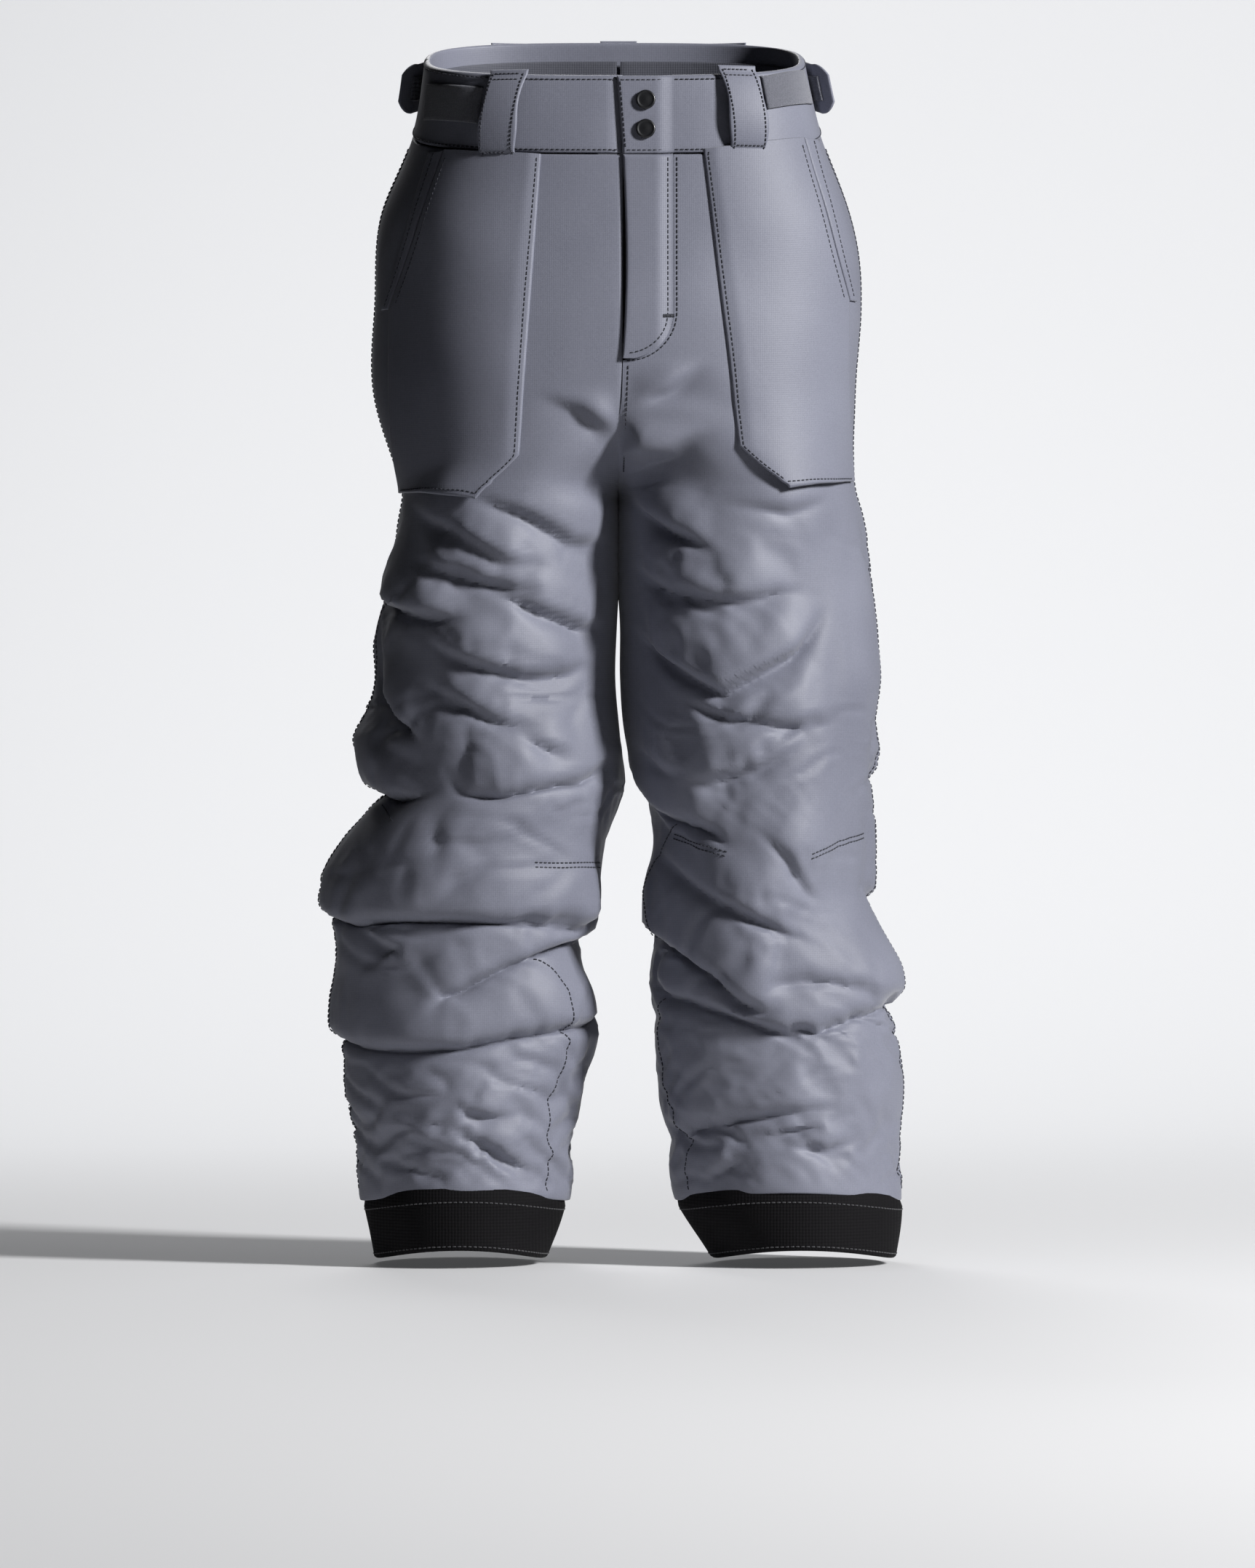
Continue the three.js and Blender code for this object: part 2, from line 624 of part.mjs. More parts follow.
function gaiterElastic(side) {
  const point = (u, v, layer) => {
    const inset = ELASTIC.inset + ELASTIC.thickness * layer;
    return ringPoint(side, u, lerp(GAITER.bottom - GAP, ELASTIC.bottom, v), -inset);
  };
  return ringSheet(point, 16, 1);
}

// ---------- assembly ----------

function addShell() {
  for (const [side, name] of [[RIGHT, 'right'], [LEFT, 'left']]) {
    addPiece(`${name}_front_panel`, legPanel(side, -1), 'shell');
    addPiece(`${name}_back_panel`, legPanel(side, 1), 'shell');
    addPiece(`${name}_lining`, lining(side), 'lining');
    addPiece(`waistband_${name}`, waistbandFront(side), 'shell');
    addPiece(`${name}_hem_guard`, hemGuard(side), 'hem');
    addPiece(`${name}_boot_gaiter`, bootGaiter(side), 'lining');
    addPiece(`${name}_gaiter_elastic`, gaiterElastic(side), 'elastic');
    addPiece(`${name}_landing_patch`, landingPatch(side), 'loopPile');
    addPiece(`${name}_waist_tab`, waistTab(side), 'shell');
    addPiece(`${name}_hook_patch`, hookPatch(side), 'elastic');
  }
  addPiece('waistband_back', waistbandBack(), 'shell');
  for (const pocket of POCKETS) {
    addPiece(`${pocket.name}_patch_pocket`, patchPocket(pocket), 'shell');
    addPiece(`${pocket.name}_pocket_welt`, pocketWelt(pocket), 'shell');
    addPiece(`${pocket.name}_pocket_bag`, pocketBag(pocket), 'lining');
  }
}

function addFly() {
  addPiece('waistband_overlap', overlapTab(), 'shell');
  addPiece('fly_placket', flyPlacket(), 'shell');
  const bandEdges = () => [FLY.edge, UNDERLAP_EDGE];
  const bandUnderlap = frontStrip(bandEdges, -2, -WAISTBAND_HEIGHT, BAND_UNDERLAP_LIFTS, 4, 1);
  addPiece('waistband_underlap', bandUnderlap, 'shell');
  const flyEdges = () => [-9, UNDERLAP_EDGE];
  addPiece('fly_underlap', frontStrip(flyEdges, -54, FLY.bottom - 2, FLY_UNDERLAP_LIFTS, 4, 5), 'shell');
  addPiece('zip_tape_right', zipTape(RIGHT), 'zip');
  addPiece('zip_tape_left', zipTape(LEFT), 'zip');
  const slider = addPiece('zip_slider', zipSlider(), 'zip');
  slider.applyMatrix4(zipFrame(SLIDER.down));
  const pull = addPiece('zip_pull', zipPull(), 'zip');
  const pullTop = new THREE.Matrix4().makeTranslation(0, -3.55, 2.4);
  pull.applyMatrix4(zipFrame(SLIDER.down).multiply(pullTop));
  const stop = addPiece('zip_bottom_stop', fromSolid(box(5, 3, 2.4, 0, 0, 0)), 'zip');
  stop.applyMatrix4(zipFrame(ZIP_LENGTH + 1.6));
  for (const snap of SNAPS) {
    addPiece(`snap_cap_${snap.name}`, snapPart(snap, CAP, FLAP_LIFTS[0] + 0.3), 'snap');
    addPiece(`snap_socket_${snap.name}`, snapPart(snap, SOCKET, FLAP_LIFTS[1] - 0.5), 'snap');
    addPiece(`snap_stud_${snap.name}`, snapPart(snap, STUD, WAISTBAND_LIFTS[1]), 'snap');
  }
}

// Each belt loop's face, centre and ends; a leaning one shifts sideways by lean per unit of height.
const BELT_LOOPS = [
  { name: 'front_right', face: -1, x: -73, top: -14, bottom: -75, lean: 0.12 },
  { name: 'front_left', face: -1, x: 78, top: -10, bottom: -69, lean: -0.12 },
  { name: 'back_right', face: 1, x: -72, top: 18, bottom: -40, lean: 0 },
  { name: 'back_left', face: 1, x: 72, top: 18, bottom: -40, lean: 0 },
  { name: 'back_centre', face: 1, x: 0, top: 20, bottom: -38, lean: 0 },
];

function addBeltLoops() {
  for (const loop of BELT_LOOPS) addPiece(`belt_loop_${loop.name}`, beltLoop(loop), 'shell');
}

addShell();
addFly();
addBeltLoops();

export default pants;
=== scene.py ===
"""Ski pants: the cloth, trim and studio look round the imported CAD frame. Metres; -Y is the front."""
import collections
import json
import math

import bpy
import numpy as np
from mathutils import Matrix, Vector

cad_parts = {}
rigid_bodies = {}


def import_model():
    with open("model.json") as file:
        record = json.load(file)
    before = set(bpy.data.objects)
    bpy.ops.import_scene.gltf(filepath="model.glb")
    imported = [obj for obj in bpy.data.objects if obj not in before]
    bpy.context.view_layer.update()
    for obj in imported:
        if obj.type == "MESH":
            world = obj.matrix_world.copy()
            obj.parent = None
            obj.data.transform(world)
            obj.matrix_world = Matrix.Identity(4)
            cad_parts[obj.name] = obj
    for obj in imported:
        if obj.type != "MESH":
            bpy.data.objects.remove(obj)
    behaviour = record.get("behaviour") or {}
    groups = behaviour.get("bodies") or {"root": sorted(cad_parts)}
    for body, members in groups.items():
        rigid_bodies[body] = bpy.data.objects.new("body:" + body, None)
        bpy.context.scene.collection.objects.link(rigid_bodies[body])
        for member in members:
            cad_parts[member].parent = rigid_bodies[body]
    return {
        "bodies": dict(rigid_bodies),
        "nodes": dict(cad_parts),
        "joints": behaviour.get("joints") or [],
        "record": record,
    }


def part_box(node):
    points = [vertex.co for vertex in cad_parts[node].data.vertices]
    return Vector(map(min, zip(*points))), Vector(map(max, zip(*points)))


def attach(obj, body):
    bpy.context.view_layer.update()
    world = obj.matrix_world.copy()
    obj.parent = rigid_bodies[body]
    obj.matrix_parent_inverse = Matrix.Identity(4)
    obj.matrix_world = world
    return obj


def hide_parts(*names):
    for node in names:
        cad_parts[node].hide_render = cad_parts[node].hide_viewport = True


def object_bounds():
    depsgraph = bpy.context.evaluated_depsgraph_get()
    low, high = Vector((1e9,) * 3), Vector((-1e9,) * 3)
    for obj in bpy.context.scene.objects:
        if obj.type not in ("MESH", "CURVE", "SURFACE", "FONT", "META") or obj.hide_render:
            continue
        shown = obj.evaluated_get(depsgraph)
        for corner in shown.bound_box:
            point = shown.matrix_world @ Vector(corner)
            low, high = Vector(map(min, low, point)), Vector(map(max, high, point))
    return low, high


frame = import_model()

CAD_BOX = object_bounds()

# ---------- driving dimensions ----------
RIGHT, LEFT = -1, 1
SIDES = ((RIGHT, "right"), (LEFT, "left"))
FRONT, BACK = -1, 1  # the faces
BAND = 0.050  # waistband height
WAIST_TILT = 0.2  # the waist drops towards the front
CROTCH, CUFF_TOP, HEM = -0.285, -0.752, -0.790  # heights: the waistband's top is at 0
CUFF_RISE = 0.008  # how much higher the shell ends in front than behind
SHELL = 0.0032  # thickness of the padded shell
FLY_EDGE, FLY_SEWN = 0.003, 0.036  # x of the placket's free edge and of its sewn edge
FLY_TURN, FLY_BOTTOM = -0.160, -0.196  # where the J-shaped end starts and stops
SEAM_LAP = 0.0016  # how far each half passes the middle towards the crotch, so that no gap shows
LAP_TOP = -0.225  # where the lap starts

# Height, outer edge (right, left), inner edge (right, left), front depth, back depth, squareness.
OUTLINE = (
    (0.012, 0.125, 0.119, -0.125, -0.119, 0.091, 0.095, 3.0),
    (-0.050, 0.135, 0.133, -0.135, -0.133, 0.097, 0.102, 2.9),
    (-0.105, 0.156, 0.153, -0.156, -0.153, 0.103, 0.112, 2.6),
    (-0.165, 0.160, 0.159, -0.150, -0.148, 0.109, 0.120, 2.4),
    (-0.225, 0.157, 0.157, -0.096, -0.096, 0.111, 0.121, 2.3),
    (-0.262, 0.150, 0.155, -0.030, -0.030, 0.109, 0.117, 2.2),
    (CROTCH, 0.145, 0.156, -0.0016, -0.0016, 0.105, 0.112, 2.2),
    (-0.300, 0.147, 0.160, -0.0016, -0.0016, 0.104, 0.109, 2.2),
    (-0.335, 0.152, 0.166, -0.0012, -0.0012, 0.101, 0.103, 2.1),
    (-0.375, 0.160, 0.171, 0.001, 0.001, 0.099, 0.096, 2.1),
    (-0.408, 0.155, 0.177, 0.002, 0.001, 0.099, 0.090, 2.0),
    (-0.445, 0.163, 0.172, -0.001, 0.004, 0.100, 0.084, 2.0),
    (-0.478, 0.158, 0.168, -0.004, 0.012, 0.099, 0.081, 2.0),
    (-0.510, 0.180, 0.168, 0.008, 0.024, 0.098, 0.080, 2.0),
    (-0.545, 0.191, 0.163, 0.011, 0.024, 0.094, 0.082, 2.0),
    (-0.585, 0.191, 0.178, 0.022, 0.021, 0.089, 0.085, 2.0),
    (-0.630, 0.188, 0.184, 0.013, 0.020, 0.085, 0.086, 2.0),
    (-0.670, 0.182, 0.187, 0.022, 0.025, 0.082, 0.085, 2.0),
    (-0.710, 0.174, 0.183, 0.028, 0.031, 0.079, 0.083, 2.0),
    (CUFF_TOP, 0.168, 0.186, 0.035, 0.038, 0.076, 0.080, 2.0),
    (HEM, 0.160, 0.182, 0.048, 0.062, 0.071, 0.077, 2.0),
)
HEIGHTS = np.array([row[0] for row in OUTLINE])[::-1]
OUTER, INNER = {RIGHT: 1, LEFT: 2}, {RIGHT: 3, LEFT: 4}  # columns of OUTLINE
FRONT_DEPTH, BACK_DEPTH, SQUARENESS = 5, 6, 7

# Folds that the stacked cloth makes. Each follows a line of (degrees round the leg, height): 0 is the
# outseam, 90 the middle of the front, 180 the inseam. Above the line the cloth swells into a roll,
# which droops to the line, and below it the cloth tucks in, both fading out over the width.
Fold = collections.namedtuple("Fold", "roll tuck width droop line")
FOLDS = {
    RIGHT: (
        Fold(0.009, 0.012, 0.016, 0.012, ((-60, -0.470), (-10, -0.474), (27, -0.481), (62, -0.492))),
        Fold(0.006, 0.009, 0.014, 0.011, ((64, -0.474), (76, -0.485), (90, -0.481), (111, -0.475),
             (150, -0.468), (200, -0.462))),
        Fold(0.003, 0.005, 0.012, 0.002, ((60, -0.552), (71, -0.548), (84, -0.536), (106, -0.523))),
        Fold(0.0067, 0.011, 0.015, 0.013, ((-70, -0.546), (0, -0.556), (35, -0.563), (64, -0.560),
             (96, -0.561), (129, -0.563), (157, -0.563), (180, -0.552))),
        Fold(0.003, 0.006, 0.012, 0.003, ((35, -0.564), (62, -0.584), (62, -0.597))),
        Fold(0.006, 0.01, 0.014, 0.01, ((200, -0.570), (148, -0.575), (130, -0.582), (115, -0.589),
             (94, -0.603), (81, -0.615), (72, -0.636))),
        Fold(0.006, 0.01, 0.014, 0.01, ((-60, -0.630), (0, -0.638), (33, -0.644), (61, -0.646),
             (87, -0.644), (113, -0.636), (147, -0.630), (190, -0.628))),
        Fold(0.0039, 0.006, 0.01, 0.002, ((84, -0.683), (95, -0.692), (117, -0.696))),
        Fold(0.0026, 0.006, 0.009, 0.002, ((58, -0.708), (78, -0.720))),
        Fold(0.0039, 0.0075, 0.01, 0.003, ((78, -0.710), (99, -0.714), (126, -0.731), (140, -0.736))),
        Fold(0.0026, 0.0045, 0.009, 0.001, ((150, -0.676), (172, -0.690))),
        Fold(0.006, 0.0096, 0.0136, 0.004, ((40, -0.330), (75, -0.340), (116, -0.354))),
        Fold(0.009, 0.013, 0.0153, 0.006, ((-10, -0.350), (13, -0.355), (50, -0.364), (84, -0.373))),
        Fold(0.005, 0.010, 0.014, 0.004, ((52, -0.380), (80, -0.396), (104, -0.404), (150, -0.402))),
        Fold(0.0105, 0.0128, 0.0136, 0.006, ((5, -0.404), (33, -0.425), (60, -0.456))),
        Fold(0.004, 0.008, 0.013, 0.004, ((46, -0.408), (70, -0.419), (93, -0.434), (118, -0.442))),
        Fold(0.0045, 0.0064, 0.011, 0.004, ((100, -0.444), (135, -0.458))),
        Fold(0.005, 0.010, 0.013, 0.004, ((84, -0.352), (110, -0.362), (135, -0.372), (165, -0.380))),
        Fold(0.004, 0.008, 0.014, 0.003, ((70, -0.292), (98, -0.302), (125, -0.318), (158, -0.322))),
        Fold(0.004, 0.008, 0.014, 0.003, ((30, -0.298), (66, -0.312), (92, -0.330), (120, -0.338))),
        Fold(0.006, 0.010, 0.010, 0.003, ((80, -0.222), (100, -0.240), (132, -0.262))),
        Fold(0.002, 0.003, 0.014, 0.001, ((120, -0.506), (92, -0.512), (60, -0.508))),
    ),
    LEFT: (
        Fold(0.009, 0.013, 0.0119, 0.005, ((160, -0.272), (127, -0.268), (104, -0.262), (84, -0.250))),
        Fold(0.004, 0.007, 0.010, 0.002, ((100, -0.236), (88, -0.218), (76, -0.198))),
        Fold(0.008, 0.012, 0.012, 0.005, ((158, -0.294), (135, -0.303), (112, -0.318), (96, -0.332))),
        Fold(0.003, 0.0064, 0.0102, 0.003, ((100, -0.298), (70, -0.300), (40, -0.292))),
        Fold(0.006, 0.009, 0.014, 0.004, ((160, -0.334), (124, -0.348), (95, -0.356), (60, -0.352))),
        Fold(0.0075, 0.0128, 0.0153, 0.005, ((165, -0.376), (137, -0.388), (104, -0.414), (70, -0.389),
             (50, -0.362))),
        Fold(0.004, 0.008, 0.012, 0.004, ((130, -0.420), (100, -0.431), (66, -0.438), (40, -0.432))),
        Fold(0.005, 0.008, 0.016, 0.004, ((135, -0.478), (113, -0.472), (86, -0.462), (62, -0.450))),
        Fold(0.0045, 0.008, 0.011, 0.004, ((172, -0.450), (150, -0.458), (116, -0.477))),
        Fold(0.0067, 0.01, 0.014, 0.01, ((210, -0.462), (180, -0.474), (166, -0.483), (148, -0.493),
             (127, -0.499), (118, -0.508), (108, -0.528))),
        Fold(0.003, 0.006, 0.012, 0.002, ((100, -0.500), (78, -0.522), (62, -0.546), (46, -0.556))),
        Fold(0.005, 0.008, 0.014, 0.005, ((170, -0.520), (149, -0.528), (96, -0.560), (68, -0.580))),
        Fold(0.009, 0.015, 0.018, 0.014, ((200, -0.560), (167, -0.570), (141, -0.582), (121, -0.596),
             (111, -0.608), (95, -0.623), (80, -0.631))),
        Fold(0.003, 0.005, 0.012, 0.003, ((111, -0.606), (75, -0.602), (25, -0.610), (-20, -0.604))),
        Fold(0.006, 0.008, 0.013, 0.008, ((180, -0.607), (138, -0.614), (116, -0.622), (85, -0.637),
             (66, -0.633), (46, -0.625), (20, -0.618), (-40, -0.612))),
        Fold(0.0039, 0.0075, 0.01, 0.003, ((180, -0.707), (145, -0.702), (115, -0.696), (90, -0.691),
             (58, -0.690))),
        Fold(0.0026, 0.006, 0.009, 0.002, ((104, -0.714), (80, -0.704), (64, -0.702))),
        Fold(0.0039, 0.006, 0.009, 0.002, ((94, -0.719), (69, -0.720), (46, -0.711))),
        Fold(0.0026, 0.006, 0.009, 0.002, ((140, -0.741), (104, -0.721))),
        Fold(0.004, 0.006, 0.014, 0.003, ((30, -0.455), (5, -0.468), (-30, -0.470))),
        Fold(0.004, 0.006, 0.013, 0.003, ((30, -0.540), (0, -0.548), (-40, -0.545))),
    ),
}
# The folds behind, on both legs.
BACK_FOLDS = (
    Fold(0.006, 0.0096, 0.0136, 0.005, ((-15, -0.335), (-60, -0.350), (-100, -0.346))),
    Fold(0.006, 0.0096, 0.0127, 0.005, ((-175, -0.318), (-140, -0.326), (-105, -0.342))),
    Fold(0.0075, 0.0112, 0.0136, 0.006, ((-50, -0.388), (-90, -0.402), (-135, -0.396))),
    Fold(0.0075, 0.0128, 0.0127, 0.007, ((-10, -0.432), (-50, -0.450), (-85, -0.462))),
    Fold(0.009, 0.0128, 0.0127, 0.007, ((-180, -0.430), (-130, -0.446), (-85, -0.462))),
    Fold(0.007, 0.009, 0.015, 0.008, ((-40, -0.505), (-90, -0.516), (-150, -0.508))),
    Fold(0.006, 0.008, 0.014, 0.007, ((-175, -0.560), (-120, -0.574), (-65, -0.570))),
    Fold(0.006, 0.008, 0.014, 0.007, ((-20, -0.612), (-70, -0.626), (-120, -0.620))),
    Fold(0.0052, 0.009, 0.012, 0.004, ((-160, -0.664), (-110, -0.676), (-50, -0.670))),
    Fold(0.0039, 0.006, 0.01, 0.002, ((-30, -0.712), (-80, -0.718))),
)
LIP = 0.0022  # how sharply a roll turns under
WRINKLES = 0.0023  # depth of the small creases between the folds
BILLOWS = 0.0018  # height of the broad waves over the hips
WRINKLE_SEED = 12


# ---------- the worn shape ----------

def outline_at(z, column):
    """Smooth interpolation of one column of OUTLINE at the heights z."""
    values = np.array([row[column] for row in OUTLINE])[::-1]
    slopes = np.gradient(values, HEIGHTS)
    z = np.clip(z, HEIGHTS[0], HEIGHTS[-1])
    i = np.clip(np.searchsorted(HEIGHTS, z) - 1, 0, len(HEIGHTS) - 2)
    span = HEIGHTS[i + 1] - HEIGHTS[i]
    t = (z - HEIGHTS[i]) / span
    return (
        (2 * t**3 - 3 * t**2 + 1) * values[i] + (t**3 - 2 * t**2 + t) * span * slopes[i]
        + (3 * t**2 - 2 * t**3) * values[i + 1] + (t**3 - t**2) * span * slopes[i + 1]
    )


def smoothstep(x, low, high):
    t = np.clip((x - low) / (high - low), 0, 1)
    return t * t * (3 - 2 * t)


def tilt_at(z):
    return WAIST_TILT * smoothstep(z, CROTCH, -0.06)


def signed_power(value, power):
    return np.sign(value) * np.abs(value) ** power


def section(side, z):
    """The centre and half width of one leg, or one half of the hips, at height z."""
    outer, inner = outline_at(z, OUTER[side]), outline_at(z, INNER[side])
    return (outer + inner) / 2, (outer - inner) / 2


def depth_at(phi, z):
    return np.where(phi >= 0, outline_at(z, FRONT_DEPTH), outline_at(z, BACK_DEPTH))


def body_point(side, phi, z, lift=0.0):
    """A point of the worn shape. phi is 0 at the outseam, positive over the front to pi."""
    phi, z, lift = np.broadcast_arrays(phi, z, lift)
    centre, half = section(side, z)
    power = 2 / outline_at(z, SQUARENESS)
    x = side * (centre + (half + lift) * signed_power(np.cos(phi), power))
    y = -(depth_at(phi, z) + lift) * signed_power(np.sin(phi), power)
    return np.stack([x, y, z + tilt_at(z) * y], axis=-1)


def unit(vectors):
    return vectors / np.maximum(np.linalg.norm(vectors, axis=-1, keepdims=True), 1e-12)


def with_normal(side, phi, z, lift):
    """A place on the smooth worn shape and its outward direction."""
    point = body_point(side, phi, z, lift)
    return point, unit(body_point(side, phi, z, lift + 0.001) - point)


def angle_at(side, z, x):
    """The angle round the front at which the section reaches x."""
    centre, half = section(side, z)
    reach = np.clip((side * x - centre) / half, -1, 1)
    return np.arccos(signed_power(reach, outline_at(z, SQUARENESS) / 2))


def seam_x(z):
    """Where the centre front seam runs: under the fly's edge, and back to the middle at the crotch."""
    return FLY_EDGE * smoothstep(z, CROTCH, FLY_BOTTOM)


def full_angle(side, z, face=BACK):
    """The angle from the outseam to the centre seam on a face, or below the crotch to the inseam.
    face may also be an array, of which the sign counts."""
    z, face = np.broadcast_arrays(z, face)
    seam = np.where(face < 0, seam_x(z), 0.0) - side * SEAM_LAP * smoothstep(-z, -LAP_TOP, 0.02 - LAP_TOP)
    return np.where(z <= CROTCH, math.pi, angle_at(side, z, seam))


# ---------- folds ----------

LEG_RADIUS = 0.082  # turns an angle round a leg into a length
FOLD_FADE = 0.045  # how far from its ends a long fold reaches its full depth


def run_along(line):
    """The length along a line of points up to each of them."""
    return np.concatenate([[0], np.cumsum(np.linalg.norm(np.diff(line, axis=0), axis=1))])


def along_line(points, phi, z):
    """Each place's distance below a line of (degrees, height) points, and the fold's strength there,
    from 0 at the line's ends to 1."""
    line = np.array([[math.radians(a) * LEG_RADIUS, h] for a, h in points])
    starts = run_along(line)
    place = np.stack([phi * LEG_RADIUS, z], axis=-1)
    best = np.full(phi.shape, np.inf)
    below = np.zeros(phi.shape)
    reach = np.zeros(phi.shape)
    for a, b, start, end in zip(line, line[1:], starts, starts[1:]):
        length = end - start
        along = np.clip(((place - a) @ (b - a)) / length**2, 0, 1)
        gap = place - (a + along[..., None] * (b - a))
        far = np.linalg.norm(gap, axis=-1)
        nearer = far < best
        best = np.where(nearer, far, best)
        below = np.where(nearer, np.where(gap[..., 1] < 0, far, -far), below)
        reach = np.where(nearer, start + along * length, reach)
    ends = np.minimum(reach, starts[-1] - reach)
    return below, smoothstep(ends, 0.0, min(FOLD_FADE, 0.5 * starts[-1]))


def random_waves(seed, phi, z, turns, pitch, count=16):
    """A smooth random field round the leg, about -1 to 1, from waves of the given turns and pitches."""
    random = np.random.default_rng(seed)
    total = np.zeros(phi.shape)
    for _ in range(count):
        around = random.integers(-turns, turns + 1)
        down = 2 * math.pi / random.uniform(*pitch)
        total += np.sin(around * phi + down * z + random.uniform(0, 2 * math.pi))
    return total / math.sqrt(count)


def wrinkles(side, phi, z):
    """Small crisp creases, in patches: the lines where a random field that is long sideways is zero."""
    field = random_waves(WRINKLE_SEED + side, phi, z, 5, (0.030, 0.080))
    patches = random_waves(WRINKLE_SEED + 5 * side, phi, z, 2, (0.08, 0.20), count=8)
    crease = np.exp(-np.abs(field) / 0.20) - 0.35 * np.exp(-((np.abs(field) - 0.55) / 0.3) ** 2)
    below_pockets = smoothstep(-z, 0.295, 0.345)
    above_hem = smoothstep(z, CUFF_TOP, CUFF_TOP + 0.017)
    return -WRINKLES * crease * smoothstep(patches, -0.7, 0.9) * below_pockets * above_hem


def billows(side, phi, z):
    """Broad soft hollows over the hips and patch pockets, away from the fly and the centre seam."""
    x = np.abs(body_point(side, phi, z)[..., 0])
    beside_fly = (phi > 0) * smoothstep(z, -0.26, -0.20) * (1 - smoothstep(x, 0.045, 0.085))
    field = random_waves(WRINKLE_SEED + 3 * side, phi, z, 4, (0.10, 0.30), count=10)
    return BILLOWS * field * smoothstep(-z, 0.06, 0.12) * (1 - beside_fly)


def touching(phi, z):
    """1 along the inner thighs, where the legs rest against each other, and 0 elsewhere."""
    return smoothstep(np.abs(phi), 2.3, 2.8) * smoothstep(z, -0.49, -0.45) * smoothstep(-z, 0.25, 0.272)


def beside_seam(side, phi, z):
    """1 at the centre seams of the seat, where both halves must meet, and 0 elsewhere."""
    return (z > CROTCH) * smoothstep(np.abs(phi) / full_angle(side, z, -phi), 0.90, 0.99)


def fold_shift(side, phi, z):
    """Outward and upward shifts that the folds and wrinkles give at each place."""
    out = wrinkles(side, phi, z) + billows(side, phi, z)
    up = np.zeros(phi.shape)
    for roll, tuck, width, droop, line in FOLDS[side] + BACK_FOLDS:
        for turn in (0, -2 * math.pi, 2 * math.pi):
            below, strength = along_line(line, phi + turn, z - 0.8 * droop)
            under = (1 + np.tanh(below / LIP)) / 2
            breadth = width * (0.35 + 0.65 * strength)
            swell = roll * np.exp(-(((below + 0.5 * breadth) / (1.5 * breadth)) ** 2))
            hollow = tuck * np.exp(-np.maximum(below, 0) / breadth)
            out += strength * (swell * (1 - under) - hollow * under)
            up -= strength * droop * np.exp(-((below / (0.7 * breadth)) ** 2))
    held = np.maximum(touching(phi, z), beside_seam(side, phi, z))
    return out * (1 - held), up * (1 - held)


# ---------- the cloth grid ----------

COLUMNS, ROWS = 128, 230
TOP_ROW, BOTTOM_ROW = -BAND - 0.0004, CUFF_TOP - 0.0005
SETTLE_COLUMNS, SETTLE_ROWS = 88, 136


def cuff_rise(phi):
    """How much higher the shell's lower edge runs in front than at the sides and back."""
    return CUFF_RISE * np.maximum(np.sin(phi), 0) ** 2


def shin_rise(phi, z):
    """That rise carried up the shin, fading out below the knee."""
    return cuff_rise(phi) * smoothstep(-z, 0.66, -CUFF_TOP)


def spread_angles(side, rows, columns):
    """Angles and heights of a grid, its columns running from the front by the outseam to the back."""
    z = np.linspace(TOP_ROW, BOTTOM_ROW, rows + 1)[:, None]
    turn = np.linspace(1, -1, columns + 1)[None, :]
    phi = turn * full_angle(side, z, -turn)
    return phi, np.broadcast_to(z, phi.shape)


def grid_axes(side):
    return spread_angles(side, ROWS, COLUMNS)


def folded_points(side, phi, z):
    base, outward = with_normal(side, phi, z, 0.0)
    out, up = fold_shift(side, phi, z)
    folded = base + outward * out[..., None]
    folded[..., 2] += up + shin_rise(phi, z)
    return folded


def folded_grid(side):
    return folded_points(side, *grid_axes(side))


def grid_normals(grid):
    return unit(np.cross(np.gradient(grid, axis=1), np.gradient(grid, axis=0)))


class Cloth:
    """One half of the shell as a smooth surface over (u, height)."""

    def __init__(self, side, grid):
        self.side = side
        self.grid = grid
        normals = grid_normals(grid)
        outward = np.sum(normals[ROWS // 2, COLUMNS // 2] * np.array([side, 0, 0]))
        self.normals = normals if outward > 0 else -normals

    def at(self, u, z, lift):
        """Position and normal at u, from 0 in front to 1 behind, and height z on the waist grid."""
        row = np.clip((TOP_ROW - z) / (TOP_ROW - BOTTOM_ROW), 0, 1) * ROWS
        column = np.clip(u, 0, 1) * COLUMNS
        position = cubic(self.grid, row, column)
        normal = unit(cubic(self.normals, row, column))
        position[..., 2] += np.maximum(z - TOP_ROW, 0)
        return position + normal * np.asarray(lift)[..., None], normal

    def u_at_x(self, x, z):
        """u of the front's place at x."""
        return 0.5 * (1 - angle_at(self.side, z, x) / full_angle(self.side, z, FRONT))


def cubic(field, row, column):
    """Catmull-Rom lookup of a (rows, columns, 3) field."""
    row, column = np.broadcast_arrays(row, column)
    last_row, last_column = field.shape[0] - 1, field.shape[1] - 1
    r0 = np.clip(np.floor(row).astype(int), 0, last_row - 1)
    c0 = np.clip(np.floor(column).astype(int), 0, last_column - 1)

    def weights(t):
        return (
            -0.5 * t + t**2 - 0.5 * t**3, 1 - 2.5 * t**2 + 1.5 * t**3,
            0.5 * t + 2 * t**2 - 1.5 * t**3, -0.5 * t**2 + 0.5 * t**3,
        )

    total = 0
    for i, wr in enumerate(weights(row - r0)):
        r = np.clip(r0 + i - 1, 0, last_row)
        for k, wc in enumerate(weights(column - c0)):
            c = np.clip(c0 + k - 1, 0, last_column)
            total = total + (wr * wc)[..., None] * field[r, c]
    return total


# ---------- making pieces ----------

